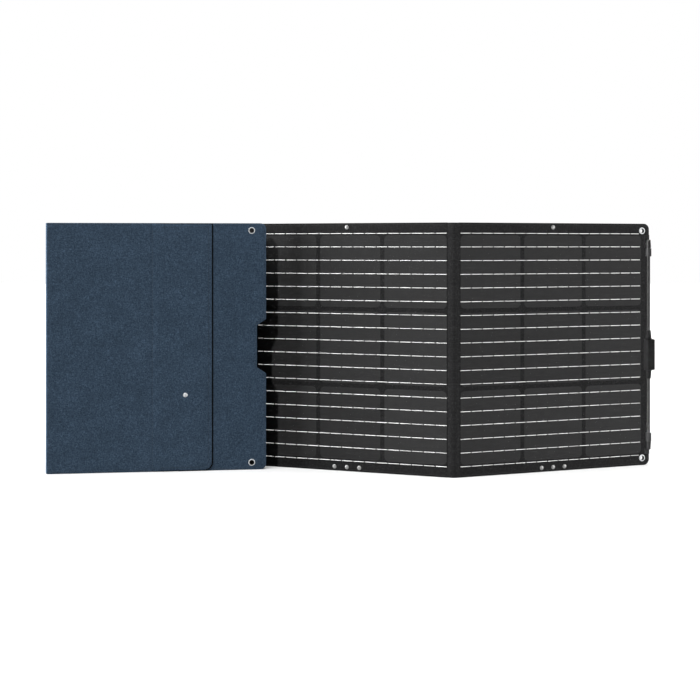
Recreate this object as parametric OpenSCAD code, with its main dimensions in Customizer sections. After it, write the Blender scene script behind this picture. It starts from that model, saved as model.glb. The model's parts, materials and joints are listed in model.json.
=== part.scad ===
// Folding solar case: four stiff panels joined by fabric hinge strips, standing in a zigzag.
// Units are millimetres. X runs to the right, Y away from the viewer, Z up.
// Each panel has its own frame: x along its width, y from front to back with 0 on the
// hinge plane, z up from its lower edge.

/* [Panels] */
// Height of every panel, along the fold lines
panel_h = 540; // [440:1:650]
// Width of the two inner panels
inner_w = 439; // [365:1:530]
// How much wider the cover panel and the end panel are
edge_over = 34; // [20:0.5:40]
// Radius of the free corners
corner_r = 13; // [6:0.5:18]
// Thickness of the stiff board in each panel
board_t = 3.2; // [2:0.1:5]
// Thickness of the black front cover
front_t = 1.4; // [1:0.1:3]
// Thickness of the fabric back cover
back_t = 1.2; // [0.6:0.1:3]

/* [Folds] */
// Fabric between two neighbouring panels when they lie flat
hinge_gap = 22; // [18:0.5:30]
// Thickness of a hinge strip
strip_t = 1.6; // [1.2:0.1:2.4]
// Turn of the cover panel away from the X axis
tilt_1 = 7.7; // [3:0.1:9]
// Turn of the second panel
tilt_2 = 11; // [10:0.1:16]
// Turn of the third panel
tilt_3 = 20.5; // [15:0.1:30]
// Turn of the end panel
tilt_4 = 20.5; // [15:0.1:30]
// Width of one flat link lead inside a hinge strip
lead_w = 9; // [4:0.5:14]
// Thickness of a link lead
lead_t = 0.5; // [0.3:0.05:0.6]
// Height of the link leads above and below mid height
lead_spread = 60; // [20:1:150]

/* [Cells] */
// Distance of the cells from the panel's upper and lower edges
cell_edge = 26.6; // [24:0.1:40]
// Gap between two rows or two columns of cells
cell_gap = 9.4; // [3:0.1:14]
// Corner radius of a cell
cell_r = 9.5; // [3:0.5:20]
// Thickness of a cell
cell_t = 0.5; // [0.3:0.05:0.8]
// Number of silver ribbons on a panel
ribbon_count = 18; // [6:1:24]
// Width of a ribbon
ribbon_w = 2.8; // [1:0.1:5]
// Thickness of a ribbon
ribbon_t = 0.3; // [0.2:0.05:0.5]
// Distance of the outer ribbons from the panel's upper and lower edges
ribbon_edge = 22.7; // [19:0.1:30]
// Thickness of the clear front film
film_t = 0.6; // [0.5:0.05:1.2]
// Border between the studs and the film
film_border = 1.4; // [0.5:0.1:3]
// Border beside a fold line
hinge_border = 3; // [2.5:0.1:12]
// Border at the end panel's free edge
free_border = 21.5; // [20:0.5:40]

/* [Metal fittings] */
// Bore radius of an eyelet
eyelet_bore_r = 4.7; // [3:0.1:6]
// Rim radius of an eyelet
eyelet_rim_r = 7.7; // [6.5:0.1:9]
// Thickness of an eyelet's rim
eyelet_rim_t = 0.8; // [0.5:0.1:1.5]
// Distance of the eyelets from the upper and lower edges
eyelet_edge = 16; // [12:0.5:24]
// Distance of the cover panel's eyelets from its free edge
eyelet_inset_cover = 31.7; // [30:0.1:45]
// Distance of the end panel's eyelets from its free edge
eyelet_inset_end = 19; // [14:0.5:30]
// Cap radius of a snap stud
stud_r = 4.6; // [3.6:0.1:6.8]
// Cap height of a snap stud
stud_cap_h = 1.7; // [1:0.1:2.5]
// Distance of the studs from the upper and lower edges
stud_edge = 9; // [7.5:0.1:11]
// Spacing of the three lower studs
stud_pitch = 28.5; // [23:0.5:35]
// Distance of the stud row's centre from the fold between panels three and four
stud_offset = 227; // [180:1:280]

/* [Cover panel] */
// Depth of the cable pocket, and thickness of the padding round it
pocket_depth = 9.5; // [8:0.1:20]
// Thickness of the sheets that close the pocket
sheet_t = 1.8; // [1.2:0.1:3]
// Padding left above, below and beside the pocket
padding_w = 14; // [10:0.5:30]
// Fold line of the pocket flap, from the fold edge
flap_fold = 231; // [200:1:240]
// Free edge of the pocket flap, from the fold edge
flap_end = 354; // [340:1:380]
// Thickness of the pocket flap
flap_t = 2.4; // [1.8:0.1:4]
// Lower corner radius of the pocket flap
flap_r = 17; // [5:0.5:30]
// Upper corner radius of the pocket flap
flap_top_r = 2; // [1:0.5:5]
// Near side of the pocket's mouth, from the fold edge
mouth_start = 252; // [245:1:256]
// Width of the pocket's mouth
mouth_w = 28; // [15:0.5:30]
// Flap snap, from the fold edge
snap_from_fold = 296.5; // [292:0.5:320]
// Height of the flap snap above the lower edge
snap_z = 166; // [60:1:480]
// Depth of the finger notch
notch_depth = 20; // [10:0.5:28]
// Length of the notch at the free edge
notch_mouth = 119; // [80:1:160]
// Length of the notch at its bottom
notch_floor = 93; // [60:1:118]

/* [Junction box] */
// Near side of the box, from the fold edge
box_from_fold = 160; // [135:1:165]
// Length of the box, across the panel
box_w = 90; // [70:1:120]
// Height of the box, along the fold lines
box_h = 60; // [40:1:90]
// Wall of the tray
box_wall = 2; // [1.5:0.1:3]
// Thickness of the lid
lid_t = 1.6; // [1.2:0.1:2]
// Outer radius of the cable gland
gland_r = 2.9; // [2:0.1:3]
// Length of the cable gland outside the tray
gland_l = 14; // [8:0.5:25]

/* [Kickstands] */
// Width of a kickstand at its hinge
kick_top_w = 150; // [100:1:200]
// Width of a kickstand at its foot
kick_foot_w = 96; // [78:1:140]
// Thickness of a kickstand
kick_t = 4; // [3.6:0.1:5]
// Distance of the kickstand hinge from the upper edge
kick_drop = 26; // [22:0.5:60]
// Width of the stay strap
strap_w = 25; // [15:0.5:30]
// Thickness of the stay strap
strap_t = 1.4; // [0.8:0.1:1.6]
// Height at which the strap is sewn to the kickstand
strap_top = 212; // [120:1:320]

/* [Handle] */
// Radius of the handle cable
cable_r = 3.5; // [2:0.1:4.5]
// Distance of the cable from the free edge
cable_inset = 6.9; // [5:0.1:12]
// Finger room between the black cover and the grip or the collars
cable_gap = 1; // [0.5:0.1:20]
// Outer ends of the anchors, from the upper and lower edges
anchor_edge = 36; // [28:0.5:60]
// Length of an anchor along the cable
anchor_l = 19; // [14:0.5:30]
// Radius of a collar
collar_r = 6.3; // [5:0.1:8]
// Length of a collar
collar_l = 18; // [10:0.5:24]
// Width of the grip, along the panel
grip_w = 19.5; // [14:0.5:36]
// Thickness of the grip's tapered ends, and twice the depth of its body behind the cable's middle
grip_t = 13; // [11:0.1:16]
// Further depth of the grip's body in front of the cable
grip_front = 5.5; // [0:0.5:8]
// Length of the grip's straight body
grip_l = 70; // [50:1:120]
// Length of one tapered end
grip_taper = 18.5; // [8:0.5:30]
// Height of the grip's centre above the lower edge
grip_z = 248; // [180:1:360]

/* [Hidden] */
$fn = 48;

// Running and seating clearances
clear = 0.25;
seat = 0.15;
eps = 0.01;
// How far a cutting shape runs past the shape it cuts
over = 1;

// Levels through a panel, front to back
face_y = -board_t / 2 - front_t;
board_y = board_t / 2;
back_y = board_y + back_t;
padding_y = back_y + pocket_depth;
sheet_y = padding_y + sheet_t;
flap_y = sheet_y + clear;
flap_axis_y = flap_y + flap_t / 2;
kick_y = back_y + clear;
kick_axis_y = kick_y + kick_t / 2;

// Hinge strips: an axis stands off each panel edge, so that a strip can turn square to it
crease = strip_t / 2 + clear;
strip_span = hinge_gap - 2 * crease;
strip_end = 1;
outer_w = inner_w + edge_over;

// Headings of panels and strips in plan, counted anticlockwise from X
head = [180 + tilt_1, tilt_2, -tilt_3, tilt_4];
strip_head = [for (i = [0:2]) (head[i] + head[i + 1]) / 2];
widths = [outer_w, inner_w, inner_w, outer_w];

function along(a) = [cos(a), sin(a)];
function behind(a) = [-sin(a), cos(a)];

// Plan chain, started at the second panel's left edge
base_2 = [0, 0];
axis_12b = base_2 - crease * along(head[1]);
axis_12a = axis_12b - strip_span * along(strip_head[0]);
base_1 = axis_12a - (crease + outer_w) * along(head[0]);
axis_23a = base_2 + (inner_w + crease) * along(head[1]);
axis_23b = axis_23a + strip_span * along(strip_head[1]);
base_3 = axis_23b + crease * along(head[2]);
axis_34a = base_3 + (inner_w + crease) * along(head[2]);
axis_34b = axis_34a + strip_span * along(strip_head[2]);
base_4 = axis_34b + crease * along(head[3]);
bases = [base_1, base_2, base_3, base_4];
strip_starts = [axis_12a, axis_23a, axis_34a];

// Handle and kickstand places in their panels
cable_x = outer_w - cable_inset;
cable_out = max(collar_r, grip_t / 2) + cable_gap;
cable_y = face_y - cable_out;
stud_x = [0, inner_w / 2, inner_w - stud_offset, stud_offset];

// Active areas, left and right limit in each panel
cell_room = 1;
active = [
    [eyelet_inset_cover + eyelet_rim_r + cell_room, outer_w - hinge_border],
    [hinge_border, inner_w - hinge_border],
    [hinge_border, inner_w - hinge_border],
    [hinge_border, outer_w - free_border]
];
film_over = 2;
film_edge = stud_edge + stud_r + film_border;
cell_h = (panel_h - 2 * cell_edge - 2 * cell_gap) / 3;

// The part's box in plan, from outer points given as [place, radius of the round about it]
function at(k, x, y) = bases[k] + x * along(head[k]) + y * behind(head[k]);
grip_r = grip_t / 5;
outer_points = concat(
    [for (k = [0:3], x = [0, widths[k]], y = [face_y, k == 0 ? sheet_y : back_y]) [at(k, x, y), 0]],
    [for (k = [0:3], x = active[k], s = [-1, 1]) [at(k, x + s * film_over, face_y - film_t), 0]],
    [for (k = [1:3], s = [-1, 1]) [at(k, stud_x[k] + s * kick_top_w / 2, kick_y + kick_t), 0]],
    [for (p = [axis_12a, axis_12b, axis_23a, axis_23b, axis_34a, axis_34b]) [p, strip_t / 2]],
    [for (sx = [-1, 1], y = [grip_r - grip_t / 2 - grip_front, grip_t / 2 - grip_r])
        [at(3, cable_x + sx * (grip_w / 2 - grip_r), cable_y + y), grip_r]]
);
function low_side(i) = min([for (p = outer_points) p[0][i] - p[1]]);
function high_side(i) = max([for (p = outer_points) p[0][i] + p[1]]);
centre = [for (i = [0, 1]) (low_side(i) + high_side(i)) / 2];

// Eyelet and stud places, [x, z]
eyelet_x = [eyelet_inset_cover, 0, 0, outer_w - eyelet_inset_end];
function eyelet_places(k) = [for (z = [eyelet_edge, panel_h - eyelet_edge]) [eyelet_x[k], z]];
function stud_places(k) = concat(
    [[stud_x[k], panel_h - stud_edge]],
    [for (i = [-1:1]) [stud_x[k] + i * stud_pitch, stud_edge]]
);
barrel_wall = 0.9;
barrel_r = eyelet_bore_r + barrel_wall;
shank_r = 2;
post_r = 3.2;
post_h = 1.8;

// Cover panel places, counted from its free edge
fold_x = outer_w - flap_fold;
flap_x = outer_w - flap_end;
mouth_near = outer_w - mouth_start;
mouth_far = mouth_near - mouth_w;
snap_x = outer_w - snap_from_fold;
snap_post_r = 1.8;
snap_base_r = 4;
snap_rim_r = 5;
snap_wall = 0.8;
flap_inset = 2;

// Junction box place and levels
box_x = outer_w - box_from_fold;
box_z = panel_h / 2 - box_h / 2;
box_floor = 1.2;
lid_room = 1;
lid_y = padding_y - lid_room;
tray_y = lid_y - lid_t;
screw_r = 1.5;
screw_head_r = 2.5;
screw_head_h = 0.8;
boss_r = 3.2;
gland_neck_r = gland_r - 0.9;
gland_bore_r = gland_r - 1.7;
gland_end = 0.5;
diode_size = [10, 3, 15];
diode_tab = [6, 0.8, 6];
diode_x = 22;
diode_z = 22;
diode_pitch = 18;

// Kickstand places
kick_z = panel_h - kick_drop;
kick_foot_z = 3;
kick_foot_r = 10;
channel_d = max(strap_t, post_h) + 2 * clear;
side_room = 1;
hem_w = 60;
hem_t = 2;
hem_edge = 2;

// Handle places
rivet_r = 1.2;
rivet_head_r = 2.2;
rivet_head_h = 0.7;
rivet_gap = 0.6;
rivet_z = [for (i = [0, 1]) -(rivet_head_r + rivet_gap) * (2 * i + 1)];
foot_plate_t = 2;
foot_plate_z = rivet_z[1] - rivet_head_r - rivet_gap;
foot_edge = 1;
anchor_wall = 1;
anchor_step = 0.6;
anchor_top = anchor_l - 1;
cable_sink = 2;
grip_end_wall = 1.6;

fabric_blue = [0.20, 0.26, 0.33];
cover_black = [0.17, 0.17, 0.17];
cell_black = [0.23, 0.23, 0.23];
metal = [0.85, 0.85, 0.86];

// Puts a panel's frame into the part's frame
module in_panel(k) {
    translate([bases[k][0] - centre[0], bases[k][1] - centre[1], 0])
        rotate([0, 0, head[k]])
        children();
}

// Puts a hinge strip's frame, with its first axis at the origin, into the part's frame
module in_strip(i) {
    translate([strip_starts[i][0] - centre[0], strip_starts[i][1] - centre[1], 0])
        rotate([0, 0, strip_head[i]])
        children();
}

// Sheet with the given x-z outline between two levels
module slab(y0, y1) {
    translate([0, y1, 0])
        rotate([90, 0, 0])
        linear_extrude(y1 - y0)
        children();
}

// Turned piece whose axis runs from front to back, drawn as radius and level
module turned_at(place) {
    translate([place[0], 0, place[1]])
        rotate([-90, 0, 0])
        rotate_extrude()
        children();
}

// Drilling through a panel from front to back
module drill(places, r) {
    for (p = places)
        translate([p[0], face_y - film_t - over, p[1]])
            rotate([-90, 0, 0])
            cylinder(r = r, h = flap_y + flap_t - face_y + film_t + 2 * over);
}

module round_rect(w, h, r) {
    translate([r, 0]) square([w - 2 * r, h]);
    translate([0, r]) square([w, h - 2 * r]);
    for (x = [r, w - r], z = [r, h - r])
        translate([x, z]) circle(r);
}

// Panel outline: the free side has round corners, a fold side has square ones
module panel_outline(k) {
    w = widths[k];
    free_left = k == 0;
    free_right = k == 3;
    round_rect(w, panel_h, corner_r);
    if (!free_left)
        square([corner_r, panel_h]);
    if (!free_right)
        translate([w - corner_r, 0]) square([corner_r, panel_h]);
}

module notch_outline() {
    mid = panel_h / 2;
    polygon([
        [-over, mid - notch_mouth / 2], [0, mid - notch_mouth / 2],
        [notch_depth, mid - notch_floor / 2], [notch_depth, mid + notch_floor / 2],
        [0, mid + notch_mouth / 2], [-over, mid + notch_mouth / 2]
    ]);
}

// One full layer of a panel, with its notch, eyelet holes and stud holes
module layer(k, y0, y1) {
    difference() {
        slab(y0, y1)
            difference() {
                panel_outline(k);
                if (k == 0) notch_outline();
            }
        if (k == 0 || k == 3) drill(eyelet_places(k), barrel_r + seat);
        if (k > 0) drill(stud_places(k), shank_r + seat);
    }
}

// Rows and columns of cells, as x-z outlines grown by a margin
module cell_outlines(k, grow) {
    span = active[k][1] - active[k][0];
    w = (span - 2 * cell_gap) / 3;
    for (c = [0:2], r = [0:2])
        translate([active[k][0] + c * (w + cell_gap) - grow, cell_edge + r * (cell_h + cell_gap) - grow])
            round_rect(w + 2 * grow, cell_h + 2 * grow, cell_r);
}

module ribbon_outlines(k, grow) {
    pitch = (panel_h - 2 * ribbon_edge) / (ribbon_count - 1);
    for (i = [0:ribbon_count - 1])
        translate([active[k][0] - grow, ribbon_edge + i * pitch - ribbon_w / 2 - grow])
            square([active[k][1] - active[k][0] + 2 * grow, ribbon_w + 2 * grow]);
}

module front_film(k) {
    color([0.6, 0.65, 0.7, 0.2])
        in_panel(k)
        difference() {
            slab(face_y - film_t, face_y)
                translate([active[k][0] - film_over, film_edge])
                square([active[k][1] - active[k][0] + 2 * film_over, panel_h - 2 * film_edge]);
            slab(face_y - ribbon_t - seat, face_y + eps) ribbon_outlines(k, seat);
            if (k == 0 || k == 3) drill(eyelet_places(k), eyelet_rim_r + clear);
        }
}

module cells(k) {
    color(cell_black)
        in_panel(k)
        slab(face_y, face_y + cell_t) cell_outlines(k, 0);
}

module ribbons(k) {
    color(metal)
        in_panel(k)
        difference() {
            slab(face_y - ribbon_t, face_y) ribbon_outlines(k, 0);
            if (k == 0 || k == 3) drill(eyelet_places(k), eyelet_rim_r + clear);
        }
}

module front_cover(k) {
    color(cover_black)
        in_panel(k)
        difference() {
            layer(k, face_y, -board_t / 2);
            slab(face_y - eps, face_y + cell_t) cell_outlines(k, seat);
        }
}

module board(k) {
    color([0.55, 0.53, 0.45])
        in_panel(k)
        layer(k, -board_t / 2, board_y);
}

// The back cover's hem is the fabric that the kickstand hangs from
module back_cover(k) {
    color(fabric_blue)
        in_panel(k)
        union() {
            layer(k, board_y, back_y);
            if (k > 0)
                difference() {
                    slab(back_y, back_y + hem_t)
                        translate([stud_x[k] - hem_w / 2, kick_z + kick_t / 2 + clear])
                        square([hem_w, kick_drop - kick_t / 2 - clear - hem_edge]);
                    drill([[stud_x[k], panel_h - stud_edge]], post_r + seat);
                }
        }
}

// Thin plate with a round bead on each fold axis, hollow where the link leads run
module hinge_strip(i) {
    color(cover_black)
        in_strip(i)
        difference() {
            union() {
                translate([0, -strip_t / 2, strip_end]) cube([strip_span, strip_t, panel_h - 2 * strip_end]);
                for (x = [0, strip_span])
                    translate([x, 0, strip_end]) cylinder(d = strip_t, h = panel_h - 2 * strip_end);
            }
            lead_bars(strip_t, lead_t + seat, lead_w + 2 * seat);
        }
}

module lead_bars(reach, t, w) {
    for (s = [-1, 1])
        translate([-reach, -t / 2, panel_h / 2 + s * lead_spread - w / 2])
            cube([strip_span + 2 * reach, t, w]);
}

module link_leads(i) {
    color([0.72, 0.45, 0.25])
        in_strip(i)
        lead_bars(0, lead_t, lead_w);
}

// Domed cap outline, as radius and height above its seat
module dome_outline(r, h) {
    ball = (r * r + h * h) / (2 * h);
    intersection() {
        translate([0, h - ball]) circle(ball, $fn = 96);
        square([r, h]);
    }
}

module snap_studs(k) {
    color(metal)
        in_panel(k)
        for (p = stud_places(k))
            turned_at(p) {
                translate([0, face_y]) mirror([0, 1]) dome_outline(stud_r, stud_cap_h);
                translate([0, face_y - eps]) square([shank_r, back_y - face_y + 2 * eps]);
                translate([0, back_y]) square([post_r, post_h]);
            }
}

module kickstand_outline() {
    half = kick_foot_w / 2;
    polygon([
        [-half, kick_foot_z + kick_foot_r], [half, kick_foot_z + kick_foot_r],
        [kick_top_w / 2, kick_z], [-kick_top_w / 2, kick_z]
    ]);
    translate([kick_foot_r - half, kick_foot_z])
        square([kick_foot_w - 2 * kick_foot_r, kick_foot_r + eps]);
    for (s = [-1, 1])
        translate([s * (half - kick_foot_r), kick_foot_z + kick_foot_r]) circle(kick_foot_r);
}

// Stiff flap that turns on a bead at its top; the strap and the studs lie in hollows of its inner face
module kickstand(k) {
    color(fabric_blue)
        in_panel(k)
        translate([stud_x[k], 0, 0])
        difference() {
            union() {
                slab(kick_y, kick_y + kick_t) kickstand_outline();
                translate([-kick_top_w / 2, kick_axis_y, kick_z])
                    rotate([0, 90, 0])
                    cylinder(d = kick_t, h = kick_top_w);
            }
            slab(kick_y - eps, back_y + channel_d)
                translate([-strap_w / 2 - side_room, -eps])
                square([strap_w + 2 * side_room, strap_top + 2 * side_room]);
            for (i = [-1, 1])
                translate([i * stud_pitch, kick_y - eps, stud_edge])
                    rotate([-90, 0, 0])
                    cylinder(r = post_r + side_room, h = channel_d);
        }
}

module stay_strap(k) {
    color(cover_black)
        in_panel(k)
        difference() {
            slab(back_y, back_y + strap_t)
                translate([stud_x[k] - strap_w / 2, kick_foot_z])
                square([strap_w, strap_top - kick_foot_z]);
            drill([[stud_x[k], stud_edge]], post_r + seat);
        }
}

// Rolled-rim tube through the whole edge of a panel
module eyelets(k) {
    back = k == 0 ? sheet_y : back_y;
    color(metal)
        in_panel(k)
        for (p = eyelet_places(k))
            turned_at(p) {
                translate([eyelet_bore_r, face_y - eyelet_rim_t])
                    square([eyelet_rim_r - eyelet_bore_r, eyelet_rim_t]);
                translate([eyelet_bore_r, face_y - eps])
                    square([barrel_r - eyelet_bore_r, back - face_y + 2 * eps]);
                translate([eyelet_bore_r, back])
                    square([eyelet_rim_r - eyelet_bore_r, eyelet_rim_t]);
            }
}

module pocket_padding() {
    color([0.25, 0.25, 0.27])
        in_panel(0)
        difference() {
            layer(0, back_y, padding_y);
            slab(back_y - eps, padding_y + eps)
                translate([mouth_far + 2 * flap_inset, padding_w])
                square([outer_w - padding_w - mouth_far - 2 * flap_inset, panel_h - 2 * padding_w]);
            drill([[snap_x, snap_z]], snap_base_r + seat);
        }
}

module pocket_front() {
    color(fabric_blue)
        in_panel(0)
        slab(padding_y, sheet_y)
        translate([mouth_near, 0])
        square([outer_w - mouth_near, panel_h]);
}

module edge_sheet() {
    color(fabric_blue)
        in_panel(0)
        difference() {
            intersection() {
                layer(0, padding_y, sheet_y);
                slab(padding_y - over, sheet_y + over) square([mouth_far, panel_h]);
            }
            drill([[snap_x, snap_z]], snap_base_r + seat);
        }
}

// Pocket flap, hung on a bead along its fold line
module pocket_flap() {
    long = panel_h - 2 * flap_inset;
    color(fabric_blue)
        in_panel(0)
        difference() {
            union() {
                slab(flap_y, flap_y + flap_t)
                    translate([flap_x, flap_inset]) {
                        round_rect(fold_x - flap_x, long, flap_r);
                        translate([0, long - 2 * flap_r]) round_rect(2 * flap_r, 2 * flap_r, flap_top_r);
                        translate([fold_x - flap_x - flap_r, 0]) square([flap_r, long]);
                    }
                translate([fold_x, flap_axis_y, flap_inset]) cylinder(d = flap_t, h = long);
            }
            drill([[snap_x, snap_z]], snap_post_r + snap_wall + seat);
        }
}

module flap_snap_cap() {
    color(metal)
        in_panel(0)
        turned_at([snap_x, snap_z]) {
            translate([0, flap_y + flap_t]) dome_outline(snap_rim_r, stud_cap_h);
            translate([snap_post_r + clear, flap_y]) square([snap_wall - clear, flap_t + 2 * eps]);
        }
}

module flap_snap_stud() {
    color(metal)
        in_panel(0)
        turned_at([snap_x, snap_z]) {
            translate([0, back_y]) square([snap_base_r, sheet_y - back_y]);
            translate([0, back_y]) square([snap_post_r, flap_y + flap_t - clear - back_y]);
        }
}

// Junction box on the pocket's back wall
module junction_tray() {
    color([0.1, 0.1, 0.1])
        in_panel(0)
        difference() {
            union() {
                difference() {
                    translate([box_x, back_y, box_z]) cube([box_w, tray_y - back_y, box_h]);
                    translate([box_x + box_wall, back_y + box_floor, box_z + box_wall])
                        cube([box_w - 2 * box_wall, tray_y, box_h - 2 * box_wall]);
                }
                screw_rows(boss_r, back_y, tray_y);
            }
            screw_rows(screw_r + seat, back_y + box_floor, tray_y + over);
            gland_rod(gland_neck_r + seat, box_x - over, box_x + box_wall + over);
        }
}

module screw_rows(r, y0, y1) {
    for (sx = [boss_r, box_w - boss_r], sz = [boss_r, box_h - boss_r])
        translate([box_x + sx, y0, box_z + sz])
            rotate([-90, 0, 0])
            cylinder(r = r, h = y1 - y0);
}

module gland_rod(r, x0, x1) {
    translate([x0, (back_y + tray_y) / 2 + box_floor / 2, panel_h / 2])
        rotate([0, 90, 0])
        cylinder(r = r, h = x1 - x0);
}

module junction_lid() {
    color([0.12, 0.12, 0.12])
        in_panel(0)
        difference() {
            translate([box_x, tray_y, box_z]) cube([box_w, lid_t, box_h]);
            screw_rows(screw_r + seat, tray_y - over, lid_y + over);
        }
}

module junction_screws() {
    color(metal)
        in_panel(0) {
            screw_rows(screw_r, back_y + box_floor + seat, lid_y + eps);
            screw_rows(screw_head_r, lid_y, lid_y + screw_head_h);
        }
}

module bypass_diodes() {
    color([0.15, 0.15, 0.16])
        in_panel(0)
        for (i = [0:2])
            translate([box_x + diode_x + i * diode_pitch, back_y + box_floor, box_z + diode_z]) {
                cube(diode_size);
                translate([(diode_size[0] - diode_tab[0]) / 2, diode_tab[1], diode_size[2] - eps])
                    cube(diode_tab);
            }
}

module cable_gland() {
    color([0.1, 0.1, 0.1])
        in_panel(0)
        difference() {
            union() {
                gland_rod(gland_r, box_x - gland_l, box_x - seat);
                gland_rod(gland_neck_r, box_x - gland_l / 2, box_x + box_wall + gland_end);
            }
            gland_rod(gland_bore_r, box_x - gland_l - over, box_x + box_wall + over);
        }
}

// Shapes along the handle cable, which runs up the end panel's free edge
module on_cable(z) {
    in_panel(3) translate([cable_x, cable_y, z]) children();
}

module both_ends(edge) {
    on_cable(edge) children();
    on_cable(panel_h - edge) mirror([0, 0, 1]) children();
}

// Tapered boss round the cable's end, on a foot plate that is riveted to the panel
module handle_anchors() {
    plate_w = 2 * (cable_inset - foot_edge);
    color([0.14, 0.14, 0.14])
        both_ends(anchor_edge)
        difference() {
            union() {
                cylinder(r1 = cable_r + anchor_wall, r2 = collar_r - anchor_step, h = anchor_top);
                translate([-cable_r, 0, 0]) cube([2 * cable_r, cable_out, anchor_top]);
                translate([-plate_w / 2, cable_out - foot_plate_t, foot_plate_z])
                    cube([plate_w, foot_plate_t, anchor_top - foot_plate_z]);
            }
            translate([0, 0, cable_sink]) cylinder(r = cable_r + seat, h = anchor_l);
            for (z = rivet_z)
                translate([0, cable_out - foot_plate_t - over, z])
                    rotate([-90, 0, 0])
                    cylinder(r = rivet_r + seat, h = foot_plate_t + 2 * over);
        }
}

module anchor_rivets() {
    color(metal)
        both_ends(anchor_edge)
        for (z = rivet_z)
            translate([0, cable_out - foot_plate_t, z])
                rotate([-90, 0, 0]) {
                    translate([0, 0, -eps]) cylinder(r = rivet_r, h = foot_plate_t + eps);
                    translate([0, 0, -rivet_head_h]) cylinder(r = rivet_head_r, h = rivet_head_h);
                }
}

module handle_cable() {
    color([0.36, 0.36, 0.36])
        on_cable(anchor_edge + cable_sink + seat)
        cylinder(r = cable_r, h = panel_h - 2 * (anchor_edge + cable_sink + seat));
}

module handle_collars() {
    color([0.16, 0.16, 0.16])
        both_ends(anchor_edge + anchor_l)
        difference() {
            cylinder(r = collar_r, h = collar_l);
            translate([0, 0, -over]) cylinder(r = cable_r + seat, h = collar_l + 2 * over);
        }
}

// Square sleeve with tapered ends that slides on the cable
module handle_grip() {
    color([0.26, 0.26, 0.26])
        on_cable(grip_z)
        difference() {
            union() {
                translate([0, 0, -grip_l / 2])
                    linear_extrude(grip_l)
                    translate([-grip_w / 2, -grip_t / 2 - grip_front])
                    round_rect(grip_w, grip_t + grip_front, grip_r);
                for (s = [0, 1])
                    mirror([0, 0, s])
                        translate([0, 0, grip_l / 2 - eps])
                        cylinder(r1 = grip_t / 2, r2 = cable_r + grip_end_wall, h = grip_taper + eps);
            }
            translate([0, 0, -grip_l]) cylinder(r = cable_r + clear, h = 2 * grip_l);
        }
}

front_film(0);  // front_film_1
cells(0);  // cells_1
ribbons(0);  // ribbons_1
front_cover(0);  // front_cover_1
board(0);  // board_1
back_cover(0);  // back_cover_1
front_film(1);  // front_film_2
cells(1);  // cells_2
ribbons(1);  // ribbons_2
front_cover(1);  // front_cover_2
board(1);  // board_2
back_cover(1);  // back_cover_2
front_film(2);  // front_film_3
cells(2);  // cells_3
ribbons(2);  // ribbons_3
front_cover(2);  // front_cover_3
board(2);  // board_3
back_cover(2);  // back_cover_3
front_film(3);  // front_film_4
cells(3);  // cells_4
ribbons(3);  // ribbons_4
front_cover(3);  // front_cover_4
board(3);  // board_4
back_cover(3);  // back_cover_4
hinge_strip(0);  // hinge_strip_12
hinge_strip(1);  // hinge_strip_23
hinge_strip(2);  // hinge_strip_34
link_leads(0);  // link_leads_12
link_leads(1);  // link_leads_23
link_leads(2);  // link_leads_34
snap_studs(1);  // snap_studs_2
snap_studs(2);  // snap_studs_3
snap_studs(3);  // snap_studs_4
kickstand(1);  // kickstand_2
kickstand(2);  // kickstand_3
kickstand(3);  // kickstand_4
stay_strap(1);  // stay_strap_2
stay_strap(2);  // stay_strap_3
stay_strap(3);  // stay_strap_4
eyelets(0);  // eyelets_1
eyelets(3);  // eyelets_4
pocket_padding();
pocket_front();
edge_sheet();
pocket_flap();
flap_snap_cap();
flap_snap_stud();
junction_tray();
junction_lid();
junction_screws();
bypass_diodes();
cable_gland();
handle_anchors();
anchor_rivets();
handle_cable();
handle_collars();
handle_grip();
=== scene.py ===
"""Folding solar case in a standing zigzag: cloth, cells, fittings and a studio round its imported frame."""

import json
import math

import bmesh
import bpy
import numpy as np
from bpy.props import FloatProperty, FloatVectorProperty, IntProperty, PointerProperty
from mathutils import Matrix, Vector
from mathutils.geometry import delaunay_2d_cdt

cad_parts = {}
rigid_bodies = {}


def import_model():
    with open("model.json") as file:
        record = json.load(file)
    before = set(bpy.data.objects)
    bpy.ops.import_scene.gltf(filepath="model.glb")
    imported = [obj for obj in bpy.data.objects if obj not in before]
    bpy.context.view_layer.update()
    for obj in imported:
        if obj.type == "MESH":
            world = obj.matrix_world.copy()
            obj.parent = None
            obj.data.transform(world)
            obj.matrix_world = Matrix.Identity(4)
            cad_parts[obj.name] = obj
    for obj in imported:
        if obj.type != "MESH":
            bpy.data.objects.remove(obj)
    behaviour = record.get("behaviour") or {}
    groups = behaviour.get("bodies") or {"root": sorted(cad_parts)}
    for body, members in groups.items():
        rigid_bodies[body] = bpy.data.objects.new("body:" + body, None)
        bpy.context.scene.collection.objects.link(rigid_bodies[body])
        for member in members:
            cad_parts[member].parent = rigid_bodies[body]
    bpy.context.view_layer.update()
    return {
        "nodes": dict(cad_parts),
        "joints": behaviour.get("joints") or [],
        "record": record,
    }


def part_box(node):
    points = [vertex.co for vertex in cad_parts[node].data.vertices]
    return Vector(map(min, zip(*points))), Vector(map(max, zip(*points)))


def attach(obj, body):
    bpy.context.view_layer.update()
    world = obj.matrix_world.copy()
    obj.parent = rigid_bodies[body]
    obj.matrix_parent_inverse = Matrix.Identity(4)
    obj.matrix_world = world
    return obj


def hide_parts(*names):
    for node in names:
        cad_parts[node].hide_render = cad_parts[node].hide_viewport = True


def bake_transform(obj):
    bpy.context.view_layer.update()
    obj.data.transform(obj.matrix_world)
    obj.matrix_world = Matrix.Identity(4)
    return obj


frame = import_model()

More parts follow.
